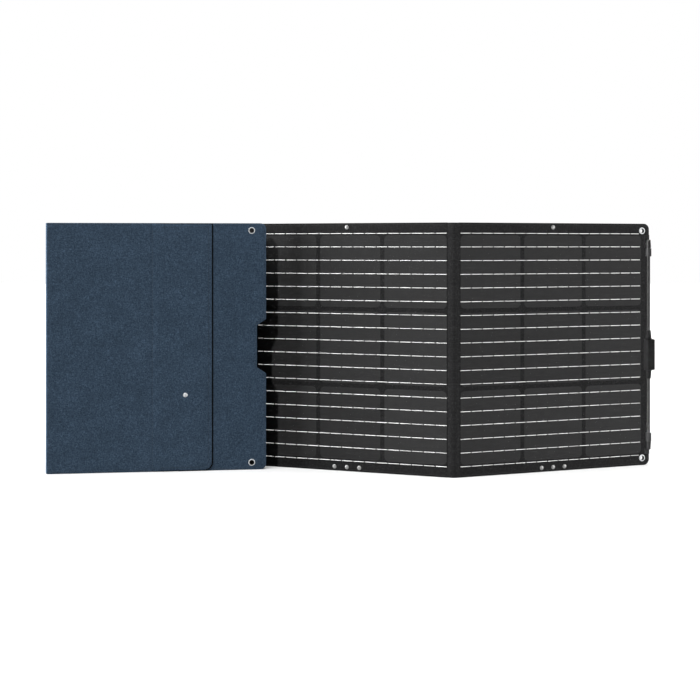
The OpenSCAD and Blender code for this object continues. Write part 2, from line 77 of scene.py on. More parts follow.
bl_info = {
    "name": "Folding solar case",
    "version": (1, 0, 0),
    "blender": (4, 5, 0),
    "location": "View3D > Sidebar > Solar case",
    "description": "Cloth, cells, fittings and studio of a folding solar case, round its packed frame",
    "category": "Object",
}

# Sizes of the frame's panels, in metres
HEIGHT = 0.540
WIDTH = {1: 0.473, 2: 0.439, 3: 0.439, 4: 0.473}
CREASE, STRIP_SPAN = 0.00105, 0.0199
FREE_CORNER, FOLD_CORNER, NOTCH_CORNER = 0.013, 0.0022, 0.003
NOTCH_DEPTH, NOTCH_MOUTH, NOTCH_FLOOR = 0.020, 0.119, 0.093

# Levels behind a panel's hinge plane
FRONT, BOARD, BACK = -0.0030, 0.0016, 0.0028
PADDING, SHEET = 0.0123, 0.0141
FLAP_IN, FLAP_OUT = 0.01435, 0.01675
KICK_IN, KICK_OUT = 0.00305, 0.00705

# Places across and up a panel, from the cover panel's free edge or from the fold before the others
ACTIVE = {1: (0.0404, 0.470), 2: (0.003, 0.436), 3: (0.003, 0.436), 4: (0.003, 0.4515)}
CELL_GAP, CELL_HEIGHT, CELL_EDGE = 0.0094, 0.156, 0.0266
STUD_X = {2: 0.2195, 3: 0.212, 4: 0.227}
STUD_EDGE, STUD_PITCH = 0.009, 0.0285
EYELET_X, EYELET_EDGE = {1: 0.0317, 4: 0.454}, 0.016
EYELET_BORE, EYELET_HOLE = 0.0047, 0.0056
FLAP_FREE, FLAP_FOLD, FLAP_INSET = 0.119, 0.242, 0.002
MOUTH_FAR, MOUTH_NEAR = 0.193, 0.221

JOINTS = {joint["name"]: joint for joint in frame["joints"]}
MOUNTS = {mount["name"]: mount for mount in frame["record"]["mounts"]}


def axis_place(joint):
    """Plan place of a vertical fold axis."""
    return np.array(JOINTS[joint]["pos_m"][:2])


def panel_direction(panel):
    """Plan direction of a panel's width: against its kickstand's axis, or square to the cover's eyelets."""
    if panel == 1:
        x, y = MOUNTS["cover_eyelet_lower"]["axis"][:2]
        return np.array((y, -x))
    return -np.array(JOINTS[f"kick_{panel}_fold"]["axis"][:2])


ALONG = {panel: panel_direction(panel) for panel in WIDTH}
ORIGIN = {
    1: axis_place("fold_12_cover") - (CREASE + WIDTH[1]) * ALONG[1],
    2: axis_place("fold_12") + CREASE * ALONG[2],
    3: axis_place("fold_23_far") + CREASE * ALONG[3],
    4: axis_place("fold_34_far") + CREASE * ALONG[4],
}
BODY = {panel: f"panel_{panel}" for panel in WIDTH}
SNAP_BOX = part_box("flap_snap_cap")
SNAP_ROW = np.array((SNAP_BOX[0] + SNAP_BOX[1]) / 2)
SNAP = (float((SNAP_ROW[:2] - ORIGIN[1]) @ ALONG[1]), float(SNAP_ROW[2]))


def colour_setting(name, description, *default):
    """Colour, at full alpha."""
    return FloatVectorProperty(name=name, description=description, subtype="COLOR", size=4, min=0, max=1,
                               default=(*default, 1))


def length_setting(name, description, default, low, high):
    """Length, in metres."""
    return FloatProperty(name=name, description=description, unit="LENGTH", default=default,
                         min=low, max=high)


def place_setting(name, description, *default, subtype="TRANSLATION"):
    """Point in metres, or a direction."""
    return FloatVectorProperty(name=name, description=description, subtype=subtype, size=3, default=default)


def light_setting(name, description, default):
    """Strength or power of a light."""
    return FloatProperty(name=name, description=description, default=default, min=0)


class CASE_PG_cloth(bpy.types.PropertyGroup):
    """Colours and sizes of the sewn cloth"""

    blue_dark: colour_setting("Blue, dark yarn", "Darker yarn of the heather cloth", 0.0378, 0.0607, 0.0928)
    blue_light: colour_setting("Blue, light yarn", "Lighter yarn of the heather cloth", 0.122, 0.196, 0.299)
    black_dark: colour_setting("Black, dark yarn", "Darker yarn of the black cloth", 0.0165, 0.0165, 0.0170)
    black_light: colour_setting("Black, light yarn", "Lighter yarn of the black cloth", 0.045, 0.045, 0.046)
    weave: length_setting("Weave", "Distance from one yarn to the next", 0.0009, 0.0003, 0.004)
    fleck: length_setting("Fleck", "Length of one shade along a yarn", 0.0036, 0.0005, 0.02)
    edge_round: length_setting("Edge round", "Radius of a turned cloth edge", 0.0013, 0.0003, 0.003)
    stitch_pitch: length_setting(
        "Stitch pitch", "Distance from one stitch to the next", 0.0046, 0.002, 0.012)
    stitch_length: length_setting(
        "Stitch length", "Length of thread that shows at a stitch", 0.0034, 0.001, 0.01)
    thread_radius: length_setting("Thread radius", "Radius of the sewing thread", 0.00034, 0.0001, 0.001)


class CASE_PG_cells(bpy.types.PropertyGroup):
    """Colours and sizes of the solar cells"""

    cell: colour_setting("Cell", "Colour of a cell", 0.046, 0.046, 0.0465)
    ribbon: colour_setting("Ribbon", "Colour of the tinned ribbons", 0.97, 0.97, 0.96)
    lines: IntProperty(name="Lines", description="Ribbon lines on a panel", default=18, min=2, max=40)
    dash_pitch: length_setting(
        "Dash pitch", "Distance from one ribbon dash to the next", 0.02638, 0.005, 0.1)
    dash_gap: length_setting("Dash gap", "Gap between two dashes of a line", 0.0028, 0.0, 0.01)
    dash_width: length_setting("Dash width", "Width of a dash", 0.0012, 0.0005, 0.006)
    line_edge: length_setting(
        "Line edge", "Distance of the outer lines from the panel's edges", 0.0227, 0.01, 0.05)


class CASE_PG_fittings(bpy.types.PropertyGroup):
    """Colours of the metal and plastic fittings"""

    metal: colour_setting("Metal", "Plated studs", 0.44, 0.44, 0.435)
    eyelet: colour_setting("Eyelet", "White plating of the eyelets and the flap's snap", 0.95, 0.98, 1.0)
    plastic: colour_setting("Plastic", "Moulded anchors, collars and junction box", 0.018, 0.018, 0.0185)
    cable: colour_setting("Cable", "Sheath of the handle cable", 0.074, 0.074, 0.074)
    grip: colour_setting("Grip", "Soft grip on the cable", 0.034, 0.034, 0.035)


class CASE_PG_studio(bpy.types.PropertyGroup):
    """Camera, light and floor"""

    camera: place_setting("Camera", "Place of the camera", -0.0714, -2.828, 0.490)
    lens: FloatProperty(
        name="Lens", description="Focal length on a 36 mm sensor, in millimetres", default=66.7)
    shift: FloatVectorProperty(
        name="Shift", description="Shift of the view, as a share of its width",
        size=2, default=(0.0396, -0.1485))
    key: light_setting("Key", "Strength of the key light", 1.6)
    key_from: place_setting(
        "Key from", "Direction that the key light comes from", -0.43, -0.54, 0.72, subtype="DIRECTION")
    left: light_setting("Left box", "Power of the left soft box, in watts", 212)
    left_at: place_setting("Left box at", "Place of the left soft box", -3.0, -0.105, 0.7)
    right: light_setting("Right box", "Power of the right soft box, in watts", 154)
    right_at: place_setting("Right box at", "Place of the right soft box", 4.28, -1.39, 1.1)
    handle: light_setting("Handle light", "Strength of the light on the handle", 2.6)
    glint: light_setting("Glint", "Strength of the front light on the ribbons", 2.7)
    back: light_setting("Back fill", "Strength of the light behind the case", 2.0)
    floor_light: light_setting("Floor light", "Strength of the floor's own light", 5.5)
    sky: light_setting("Sky", "Strength of the even studio light", 0.06)
    floor: colour_setting("Floor", "Colour of the floor", 0.90, 0.90, 0.90)


# Meshes: the rise that counts as level, the welding distance, how far the grid keeps from a rim as a share
# of its spacing, and the distance over which relief fades in
NEARLY_LEVEL, WELD = 1e-12, 1e-9
GRID_CLEAR, RELIEF_FADE = 0.6, 0.02

# Rounded ends of a band, as shares of its half thickness, its least thickness there, and a cord's end girth
BAND_END, BAND_THIN, TUBE_THIN = np.array((0, 0.15, 0.5, 1.0)), 0.12, 0.3

# A stitch's four rings: place along it as a share of half its length, lift and girth as shares of its radius
THREAD_RINGS = np.array(((-1.0, -0.62, 0.62, 1.0), (-0.5, 0.55, 0.55, -0.5), (0.45, 1, 1, 0.45)))


def unit(vectors):
    """Vectors over their lengths."""
    return vectors / np.linalg.norm(vectors, axis=-1, keepdims=True)


def smooth_step(t):
    """3t^2 - 2t^3 on 0 to 1, level outside."""
    t = np.clip(t, 0, 1)
    return t * t * (3 - 2 * t)


def turned_left(direction):
    """A plan direction turned left by a right angle."""
    return np.array((-direction[1], direction[0]))


def to_row(panel, local):
    """Row point: origin + x * along + y * behind, with z kept."""
    local, along = np.asarray(local, float), ALONG[panel]
    row = local.copy()
    row[..., :2] = ORIGIN[panel] + local[..., :1] * along + local[..., 1:2] * turned_left(along)
    return row


def run_along(path):
    """Distance along a path at each of its points."""
    return np.concatenate(([0], np.cumsum(np.linalg.norm(np.diff(path, axis=0), axis=1))))


def divided(path, spacing, closed=True):
    """The same path with each run longer than the spacing cut into equal steps."""
    ends = np.roll(path, -1, 0) if closed else path[1:]
    starts = path if closed else path[:-1]
    counts = np.maximum(1, np.ceil(np.linalg.norm(ends - starts, axis=1) / spacing)).astype(int)
    owner = np.repeat(np.arange(len(starts)), counts)
    share = (np.arange(len(owner)) - np.repeat(np.cumsum(counts) - counts, counts)) / counts[owner]
    cut = starts[owner] + share[:, None] * (ends - starts)[owner]
    return cut if closed else np.concatenate((cut, path[-1:]))


def rectangle(left, bottom, right, top):
    """Corners from the lower left, anticlockwise."""
    return [(left, bottom), (right, bottom), (right, top), (left, top)]


def rounded_loop(corners, radii, spacing=0.012, arc_step=12):
    """Closed outline whose corners are arcs tangent to both sides, about the centre at
    corner + bisector * r / sin(half the corner's angle)."""
    corners = np.asarray(corners, float)
    parts = []
    for here, before, after, r in zip(corners, np.roll(corners, 1, 0), np.roll(corners, -1, 0), radii):
        a, b = unit(before - here), unit(after - here)
        half = math.acos(float(np.clip(a @ b, -1, 1))) / 2
        centre = here + unit(a + b) * r / math.sin(half)
        first, last = here + a * r / math.tan(half) - centre, here + b * r / math.tan(half) - centre
        turn = math.atan2(first[0] * last[1] - first[1] * last[0], first @ last)
        angles = np.linspace(0, turn, int(abs(math.degrees(turn)) / arc_step) + 3)[:, None]
        parts.append(centre + first * np.cos(angles) + turned_left(first) * np.sin(angles))
    return divided(np.concatenate(parts), spacing)


def outward(loop):
    """Outward normals of an anticlockwise loop: its tangent turned right."""
    tangent = unit(np.roll(loop, -1, 0) - np.roll(loop, 1, 0))
    return np.column_stack((tangent[:, 1], -tangent[:, 0]))


def circle_loop(centre, radius, count=32):
    """Anticlockwise circle."""
    angle = np.linspace(0, 2 * math.pi, count, endpoint=False)
    return np.array(centre) + radius * np.column_stack((np.cos(angle), np.sin(angle)))


def inside(points, loop):
    """Whether each point lies inside a loop, by the number of its sides that a ray to the right crosses."""
    a, b = loop, np.roll(loop, -1, 0)
    x, y = points[:, :1], points[:, 1:]
    spans = (a[:, 1] > y) != (b[:, 1] > y)
    rise = np.where(np.abs(b[:, 1] - a[:, 1]) < NEARLY_LEVEL, NEARLY_LEVEL, b[:, 1] - a[:, 1])
    crossing = a[:, 0] + (y - a[:, 1]) * (b[:, 0] - a[:, 0]) / rise
    return (spans & (x < crossing)).sum(1) % 2 == 1


def between(points, loops):
    """Whether each point lies inside the first loop and outside the others."""
    kept = inside(points, loops[0])
    for hole in loops[1:]:
        kept &= ~inside(points, hole)
    return kept


def fill(loops, spacing):
    """Triangles between the first loop and the others, over their points and a staggered grid inside."""
    low, high = loops[0].min(0), loops[0].max(0)
    columns, rows = (np.arange(low[i], high[i], spacing) for i in (0, 1))
    z, x = np.meshgrid(rows, columns, indexing="ij")
    x = x + (np.arange(len(x)) % 2)[:, None] * spacing / 2
    grid = np.column_stack((x.ravel(), z.ravel()))
    rim = np.concatenate(loops)
    gap = np.sqrt(((grid[:, None] - rim[None]) ** 2).sum(2).min(1))
    keep = between(grid, loops) & (gap > GRID_CLEAR * spacing)
    points = np.concatenate((rim, grid[keep]))
    starts = np.cumsum([0] + [len(loop) for loop in loops])
    edges = [(s + i, s + (i + 1) % len(loop)) for s, loop in zip(starts, loops) for i in range(len(loop))]
    found = delaunay_2d_cdt([Vector(p) for p in points], edges, [], 1, WELD)
    owner = np.array([ids[0] for ids in found[3]])
    triangles = owner[np.array(found[2])]
    triangles = triangles[between(points[triangles].mean(1), loops)]
    return points, triangles, np.concatenate((np.zeros(len(rim)), gap[keep]))


def loop_faces(rows, columns):
    """Quads between the rows of closed loops that follow each other."""
    index = np.arange(rows * columns).reshape(rows, columns)
    turned = np.roll(index, -1, 1)
    return np.stack((index[:-1], index[1:], turned[1:], turned[:-1]), -1).reshape(-1, 4)


def mesh_object(name, points, groups, material, sharp=50, recalculate=False):
    """Object at the origin from points and groups of (faces, map points of all vertices)."""
    mesh = bpy.data.meshes.new(name)
    mesh.from_pydata(points.tolist(), [], [face for faces, _ in groups for face in faces.tolist()])
    corners = np.concatenate([uv[faces].reshape(-1, 2) for faces, uv in groups])
    layer = mesh.uv_layers.new(name="UVMap")
    layer.data.foreach_set("uv", corners.astype(np.float32).ravel())
    if recalculate:
        work = bmesh.new()
        work.from_mesh(mesh)
        bmesh.ops.recalc_face_normals(work, faces=work.faces)
        work.to_mesh(mesh)
        work.free()
    mesh.shade_smooth()
    mesh.set_sharp_from_angle(angle=math.radians(sharp))
    mesh.materials.append(material)
    piece = bpy.data.objects.new(name, mesh)
    bpy.context.scene.collection.objects.link(piece)
    return piece


def paint_points(piece, name, values):
    """One number for each point of a piece, which its material reads by name."""
    layer = piece.data.attributes.new(name, "FLOAT", "POINT")
    layer.data.foreach_set("value", values.astype(np.float32))


def cloth_relief(seed, height, length):
    """Relief of slack cloth: the mean of six sine waves of about one length, whose directions, lengths and
    phases are drawn from the seed."""
    draw = np.random.default_rng(seed)
    angle, phase = draw.uniform(0, math.pi, 6), draw.uniform(0, 2 * math.pi, 6)
    number = 2 * math.pi / (length * draw.uniform(0.7, 1.6, 6))
    waves = number * np.stack((np.cos(angle), np.sin(angle)))

    def relief(places):
        return height * np.sin(places @ waves + phase).mean(1)

    return relief


def shell(name, panel, outline, profile, material, holes=(), spacing=0.012, relief=None, warp=None):
    """Closed sheet over an x-z outline: rim row j is outline - inset_j * normal at level y_j, and the first
    and last rows are filled with triangles, whose inner points stand out by the relief."""
    count, normal = len(outline), outward(outline)
    profile = np.array(profile, float)
    insets, levels = profile.T
    rim = outline[None] - insets[:, None, None] * normal[None]
    flat, triangles, gap = fill([rim[0], *holes], spacing)
    inner, rows = flat[count:], len(insets)
    swell = relief(inner) * smooth_step(gap[count:] / RELIEF_FADE) if relief else np.zeros(len(inner))
    depth = np.broadcast_to(levels[:, None], rim.shape[:2])
    local = np.concatenate((
        np.stack((rim[..., 0], depth, rim[..., 1]), -1).reshape(-1, 3),
        np.column_stack((inner[:, 0], levels[0] - swell, inner[:, 1])),
        np.column_stack((inner[:, 0], levels[-1] + swell, inner[:, 1])),
    ))
    front, back = rows * count, rows * count + len(inner)
    face_map = local[:, (0, 2)]
    rim_map = face_map.copy()
    rim_map[:front] = (rim[0][None] + run_along(profile)[:, None, None] * normal[None]).reshape(-1, 2)
    groups = [
        (np.where(triangles < count, triangles, triangles - count + front), face_map),
        (np.where(triangles < count, triangles + front - count, triangles - count + back)[:, ::-1], face_map),
        (loop_faces(rows, count), rim_map),
    ]
    start = 0
    for hole in holes:
        ring = start + np.arange(len(hole))
        turned = np.roll(ring, -1)
        groups.append((np.stack((front + ring, front + turned, back + turned, back + ring), 1), rim_map))
        start += len(hole)
    if warp:
        local = warp(local)
    return mesh_object(name, to_row(panel, local), groups, material)


def band(name, curve, half, stations, place, material):
    """Sheet whose section is a curve with thickness, side points = curve +- half * normal, carried along
    the stations; its two ends close on a half round."""
    tangent = unit(np.gradient(curve, axis=0))
    normal = np.column_stack((-tangent[:, 1], tangent[:, 0]))
    low, high = stations[0], stations[-1]
    depth = BAND_END * half
    between_ends = stations[(stations > low + 2 * half) & (stations < high - 2 * half)]
    rows = np.concatenate((low + depth, between_ends, (high - depth)[::-1]))
    near = np.minimum(rows - low, high - rows) / half
    share = np.maximum(BAND_THIN, np.sqrt(1 - (1 - np.clip(near, 0, 1)) ** 2))
    offset = (half * share)[:, None, None] * normal[None]
    section = np.concatenate((curve[None] + offset, (curve[None] - offset)[:, ::-1]), 1)
    columns = section.shape[1]
    height = np.broadcast_to(rows[:, None], section.shape[:2])
    run = run_along(curve)
    across = np.concatenate((run, run[::-1]))
    face_map = np.stack((np.broadcast_to(across, section.shape[:2]), height), -1).reshape(-1, 2)
    index = np.arange(len(curve) - 1)
    cap = np.stack((index, index + 1, columns - 2 - index, columns - 1 - index), 1)
    points = place(section.reshape(-1, 2), height.reshape(-1))
    groups = [(loop_faces(len(rows), columns), face_map), (cap, face_map),
              (cap + (len(rows) - 1) * columns, face_map)]
    return mesh_object(name, points, groups, material, recalculate=True)


def through(points, count):
    """Smooth curve through points: a Catmull-Rom spline, with its ends held."""
    points = np.asarray(points, float)
    held = np.concatenate((2 * points[:1] - points[1:2], points, 2 * points[-1:] - points[-2:-1]))
    t = np.linspace(0, len(points) - 1, count)
    i = np.minimum(t.astype(int), len(points) - 2)
    f = (t - i)[:, None]
    a, b, c, d = held[i], held[i + 1], held[i + 2], held[i + 3]
    return 0.5 * (2 * b + (c - a) * f + (2 * a - 5 * b + 4 * c - d) * f**2 + (3 * b - a - 3 * c + d) * f**3)


def revolved(name, panel, places, profile, material, segments=40):
    """Closed ring sections turned about the y axis: x = r cos a, z = r sin a, at each x-z place."""
    radius, level = np.array(profile, float).T
    angle = np.linspace(0, 2 * math.pi, segments, endpoint=False)[:, None]
    depth = np.broadcast_to(level, (segments, len(level)))
    ring = np.stack((radius * np.cos(angle), depth, radius * np.sin(angle)), -1).reshape(-1, 3)
    index = np.arange(len(ring)).reshape(segments, len(level))
    ahead = np.roll(index, -1, 1)
    quads = np.stack((index, ahead, np.roll(ahead, -1, 0), np.roll(index, -1, 0)), -1).reshape(-1, 4)
    local = np.concatenate([ring + np.array((x, 0, z)) for x, z in places])
    faces = np.concatenate([quads + number * len(ring) for number in range(len(places))])
    return mesh_object(name, to_row(panel, local), [(faces, local[:, (0, 2)])], material, recalculate=True)


def tube(name, path, plane_normal, radius, wide, material, sides=12):
    """Oval cord on an open flat path: centre + radius * cos a * plane normal + wide * sin a * side."""
    tangent = unit(np.gradient(path, axis=0))
    side = np.cross(tangent, plane_normal)
    angle = np.linspace(0, 2 * math.pi, sides, endpoint=False)[:, None]
    reach = np.ones(len(path))
    reach[[0, -1]] = TUBE_THIN
    deep = radius * np.cos(angle)[None] * plane_normal
    ring = deep + wide[:, None, None] * np.sin(angle)[None] * side[:, None]
    points = (path[:, None] + reach[:, None, None] * ring).reshape(-1, 3)
    run = run_along(path)
    face_map = np.stack(np.broadcast_arrays(run[:, None], angle.T * radius), -1).reshape(-1, 2)
    ends = np.arange(sides)[None]
    groups = [(loop_faces(len(path), sides), face_map), (ends, face_map),
              (ends + (len(path) - 1) * sides, face_map)]
    return mesh_object(name, points, groups, material, recalculate=True)


def evenly(path, pitch):
    """Points and tangents every pitch along an open path."""
    run = run_along(path)
    steps = max(2, int(run[-1] / pitch))
    at = (np.arange(steps) + 0.5) * run[-1] / steps

    def places(distance):
        return np.column_stack([np.interp(distance, run, column) for column in path.T])

    return places(at), unit(places(at + pitch / 8) - places(at - pitch / 8))


def stitches(name, rows, material, length, radius):
    """Threads of four rings of six: ring s is centred at spot + s * length / 2 * tangent
    + radius * lift(s) * normal, with the radius radius * girth(s)."""
    spot, tangent, normal = (np.concatenate(part) for part in zip(*rows))
    s, lift, girth = THREAD_RINGS
    rings, sides = len(s), 6
    side = np.cross(tangent, normal)
    angle = np.arange(sides) * 2 * math.pi / sides
    centre = spot[:, None] + s[:, None] * length / 2 * tangent[:, None]
    centre = centre + radius * lift[:, None] * normal[:, None]
    ring = np.cos(angle)[:, None] * normal[:, None] + np.sin(angle)[:, None] * side[:, None]
    points = (centre[:, :, None] + radius * girth[None, :, None, None] * ring[:, None]).reshape(-1, 3)
    starts = (np.arange(len(spot)) * rings * sides)[:, None, None]
    quads = (loop_faces(rings, sides)[None] + starts).reshape(-1, 4)
    end = np.arange(sides)
    caps = (np.stack((end, end + (rings - 1) * sides))[None] + starts).reshape(-1, sides)
    face_map = np.tile(np.column_stack((np.repeat(s, sides), np.tile(angle, rings))), (len(spot), 1))
    return mesh_object(name, points, [(quads, face_map), (caps, face_map)], material, recalculate=True)


def stitch_row(panel, path, level, face, pitch, skip=()):
    """Places, tangents and normals of one row on a panel's face, left out round the given (x, z, radius)."""
    spot, tangent = evenly(np.asarray(path, float), pitch)
    keep = np.ones(len(spot), bool)
    for x, z, radius in skip:
        keep &= np.hypot(spot[:, 0] - x, spot[:, 1] - z) > radius
    spot, tangent = spot[keep], tangent[keep]
    here, ahead = (to_row(panel, np.insert(flat, 1, level, axis=1)) for flat in (spot, spot + tangent))
    out = np.append(face * turned_left(ALONG[panel]), 0.0)
    return here, ahead - here, np.broadcast_to(out, here.shape)


class Finish:
    """A material's node tree, with short ways to add and join nodes."""

    def __init__(self, name, roughness, metallic=0.0, gloss=0.5):
        self.material = bpy.data.materials.new(name)
        self.material.use_nodes = True
        self.tree = self.material.node_tree
        self.shader = self.tree.nodes["Principled BSDF"]
        self.shader.inputs["Roughness"].default_value = roughness
        self.shader.inputs["Metallic"].default_value = metallic
        self.shader.inputs["Specular IOR Level"].default_value = gloss

    def node(self, kind, inputs=(), **settings):
        made = self.tree.nodes.new(kind)
        for key, value in settings.items():
            setattr(made, key, value)
        for key, value in dict(inputs).items():
            if isinstance(value, bpy.types.NodeSocket):
                self.tree.links.new(value, made.inputs[key])
            else:
                made.inputs[key].default_value = value
        return made

    def math(self, operation, a, b=0.0):
        return self.node("ShaderNodeMath", {0: a, 1: b}, operation=operation).outputs[0]

    def sum(self, *parts):
        """Sum of value * share over (value, share) pairs."""
        total, *others = [self.math("MULTIPLY", value, share) for value, share in parts]
        for part in others:
            total = self.math("ADD", total, part)
        return total

    def wave(self, value, length):
        """sin(2 pi * value / length)."""
        return self.math("SINE", self.math("MULTIPLY", value, 2 * math.pi / length))

    def parts(self, vector):
        return self.node("ShaderNodeSeparateXYZ", {0: vector}).outputs

    def attribute(self, name):
        return self.node("ShaderNodeAttribute", attribute_name=name).outputs["Fac"]

    def noise(self, vector, size, detail=2.0, roughness=0.6):
        return self.node("ShaderNodeTexNoise", {
            "Vector": vector, "Scale": 1 / size, "Detail": detail, "Roughness": roughness}).outputs[0]

    def ramp(self, factor, *stops):
        made = self.node("ShaderNodeValToRGB", {0: factor})
        while len(made.color_ramp.elements) < len(stops):
            made.color_ramp.elements.new(0.5)
        for element, (place, colour) in zip(made.color_ramp.elements, stops):
            element.position, element.color = place, colour
        return made.outputs[0]

    def range(self, value, low, high):
        return self.node("ShaderNodeMapRange", {0: value, 3: low, 4: high}).outputs[0]

    def bump(self, height, strength, distance):
        self.join(self.node("ShaderNodeBump", {
            "Height": height, "Strength": strength, "Distance": distance}).outputs[0], "Normal")

    def join(self, socket, name):
        self.tree.links.new(socket, self.shader.inputs[name])

    def coordinates(self, kind, turn=0.0, scale=(1, 1, 1), move=(0, 0, 0)):
        source = self.node("ShaderNodeTexCoord").outputs[kind]
        return self.node("ShaderNodeMapping", {
            "Vector": source, "Rotation": (0, 0, turn), "Scale": scale, "Location": move}).outputs[0]


def shaded(colour, share):
    """A colour made darker or lighter by a share, at full alpha."""
    return [min(1.0, share * part) for part in colour[:3]] + [1]


def yarns(made, along, across, pitch, fleck):
    """Shade of one set of yarns: white noise of (stretch, yarn), where yarn = floor(across / pitch) and
    stretch = floor(along / fleck + a start of its own for each yarn)."""
    yarn = made.math("FLOOR", made.math("DIVIDE", across, pitch))
    start = made.node("ShaderNodeTexWhiteNoise", {"W": yarn}, noise_dimensions="1D").outputs[0]
    stretch = made.math("FLOOR", made.math("ADD", made.math("DIVIDE", along, fleck), start))
    place = made.node("ShaderNodeCombineXYZ", {0: stretch, 1: yarn}).outputs[0]
    return made.node("ShaderNodeTexWhiteNoise", {"Vector": place}, noise_dimensions="2D").outputs[0]


def woven_cloth(name, dark, light, pitch, fleck):
    """Plain weave of melange yarns: the warp shows where sin(u) sin(v) is above 0 and the weft elsewhere."""
    made = Finish(name, 0.9, gloss=0.08)
    flat = made.coordinates("UV")
    u, v = made.parts(flat)[:2]
    weave = made.math("MULTIPLY", made.wave(u, 2 * pitch), made.wave(v, 2 * pitch))
    warp, weft = yarns(made, v, u, pitch, fleck), yarns(made, u, v, pitch, fleck)
    over = made.math("GREATER_THAN", weave, 0.0)
    shade = made.math("ADD", weft, made.math("MULTIPLY", over, made.math("SUBTRACT", warp, weft)))
    cloud = made.math("SUBTRACT", made.noise(flat, 0.05, detail=4.0, roughness=0.7), 0.5)
    mixed = made.sum((shade, 1.0), (cloud, 0.5))
    middle = [d + 0.45 * (l - d) for d, l in zip(dark, light)]
    made.join(made.ramp(mixed, (0.0, dark), (0.85, middle), (1.0, light)), "Base Color")
    made.join(made.range(mixed, 0.97, 0.80), "Roughness")
    made.bump(made.sum((weave, 1.0), (shade, 0.3)), 0.3, pitch * 0.2)
    return made.material


def webbing(name, dark, light, pitch, gloss):
    """Strap webbing: slanting ribs, height sin(u + 0.6 v), with fine yarn noise."""
    made = Finish(name, 0.85, gloss=gloss)
    flat = made.coordinates("UV")
    u, v = made.parts(flat)[:2]
    yarn = made.noise(flat, 0.0006)
    mixed = made.sum((made.wave(made.sum((u, 1.0), (v, 0.6)), pitch), 0.2), (yarn, 1.0))
    made.join(made.ramp(mixed, (0.3, dark), (0.75, light)), "Base Color")
    made.join(made.range(yarn, 0.95, 0.75), "Roughness")
    made.bump(mixed, 0.5, pitch * 0.25)
    return made.material


def thread(name, colour):
    """Twisted thread: slanting plies along the stitch, sin(9 u + v)."""
    made = Finish(name, 0.7)
    u, v = made.parts(made.coordinates("UV"))[:2]
    ply = made.math("SINE", made.sum((u, 9.0), (v, 1.0)))
    made.join(made.ramp(made.range(ply, 0, 1), (0.2, shaded(colour, 0.6)), (0.9, colour)), "Base Color")
    made.bump(ply, 0.4, 0.0001)
    return made.material


def cell_finish(name, panel, colour):
    """Dark cell: a little lighter or darker from one to the next, fine upright fingers, faint mottling."""
    made = Finish(name, 0.62, gloss=0.06)
    along, (low, high) = ALONG[panel], ACTIVE[panel]
    step = ((high - low + CELL_GAP) / 3, 1.0, CELL_HEIGHT + CELL_GAP)
    start = (CELL_GAP / 2 - low - float(ORIGIN[panel] @ along), 0.5, CELL_GAP / 2 - CELL_EDGE)
    flat = made.coordinates("Object", turn=-math.atan2(along[1], along[0]), move=start)
    cell = made.node("ShaderNodeVectorMath", {0: flat, 1: step}, operation="SNAP").outputs[0]
    tone = made.node("ShaderNodeTexWhiteNoise", {"Vector": cell}, noise_dimensions="3D").outputs[0]
    mottle = made.noise(flat, 0.02, detail=4.0)
    mixed = made.sum((tone, 0.35), (mottle, 0.5), (made.wave(made.parts(flat)[0], 0.0016), 0.06))
    made.join(made.ramp(mixed, (0.15, shaded(colour, 0.84)), (0.75, shaded(colour, 1.16))), "Base Color")
    made.join(made.range(mottle, 0.56, 0.70), "Roughness")
    made.bump(made.noise(flat, 0.0008), 0.05, 0.0002)
    return made.material


def ribbon_finish(name, colour):
    """Tinned ribbon, whose brightness steps from dash to dash by the mesh's own tone."""
    made = Finish(name, 0.5, metallic=0.1, gloss=0.25)
    grain = made.noise(made.coordinates("Object"), 0.0007)
    mixed = made.sum((made.attribute("tone"), 1.0), (made.math("SUBTRACT", grain, 0.5), 0.2))
    made.join(made.ramp(mixed, (0.0, shaded(colour, 0.58)), (1.0, colour)), "Base Color")
    made.join(made.range(grain, 0.45, 0.62), "Roughness")
    return made.material


def film_finish(name, colour):
    """Thin clear film: almost nothing but a dull sheen of the cells' own colour, a little uneven."""
    made = Finish(name, 0.7, gloss=0.05)
    made.join(made.range(made.noise(made.coordinates("UV"), 0.03), 0.62, 0.8), "Roughness")
    made.shader.inputs["Base Color"].default_value = colour
    made.shader.inputs["Alpha"].default_value = 0.02
    return made.material


def bright_metal(name, colour, roughness, metallic=1.0):
    """Plated metal with fine scratches, a dull patch here and there, and painted shade: almost black where
    the mesh's bore attribute marks the inside of an eyelet's barrel.
    """
    made = Finish(name, roughness, metallic)
    scratch = made.noise(made.coordinates("Object", scale=(1, 1, 0.15)), 0.0005)
    dull = made.noise(made.coordinates("Object"), 0.004, detail=3.0)
    plate = made.ramp(dull, (0.3, shaded(colour, 0.8)), (0.6, colour))
    # Painted shade: the bore attribute mixes the plating towards almost black, for the shade inside the
    # barrel
    deep = {"Factor": made.attribute("bore"), 6: plate, 7: shaded(colour, 0.02)}
    made.join(made.node("ShaderNodeMix", deep, data_type="RGBA").outputs[2], "Base Color")
    made.join(made.range(made.math("MULTIPLY", dull, scratch), roughness * 0.6, roughness * 1.8), "Roughness")
    made.bump(scratch, 0.06, 0.0001)
    return made.material


def moulded(name, colour, roughness, grain=0.0006, gloss=0.5):
    """Moulded plastic or rubber: fine spark grain, faint wear, uneven gloss."""
    made = Finish(name, roughness, gloss=gloss)
    place = made.coordinates("Object")
    broad = made.noise(place, 0.012, detail=3.0)
    worn = (0.3, shaded(colour, 0.8)), (0.55, colour), (0.8, shaded(colour, 1.35))
    made.join(made.ramp(broad, *worn), "Base Color")
    made.join(made.range(broad, roughness - 0.12, min(1.0, roughness + 0.12)), "Roughness")
    made.bump(made.noise(place, grain), 0.3, grain * 0.4)
    return made.material


FINISHES = {}


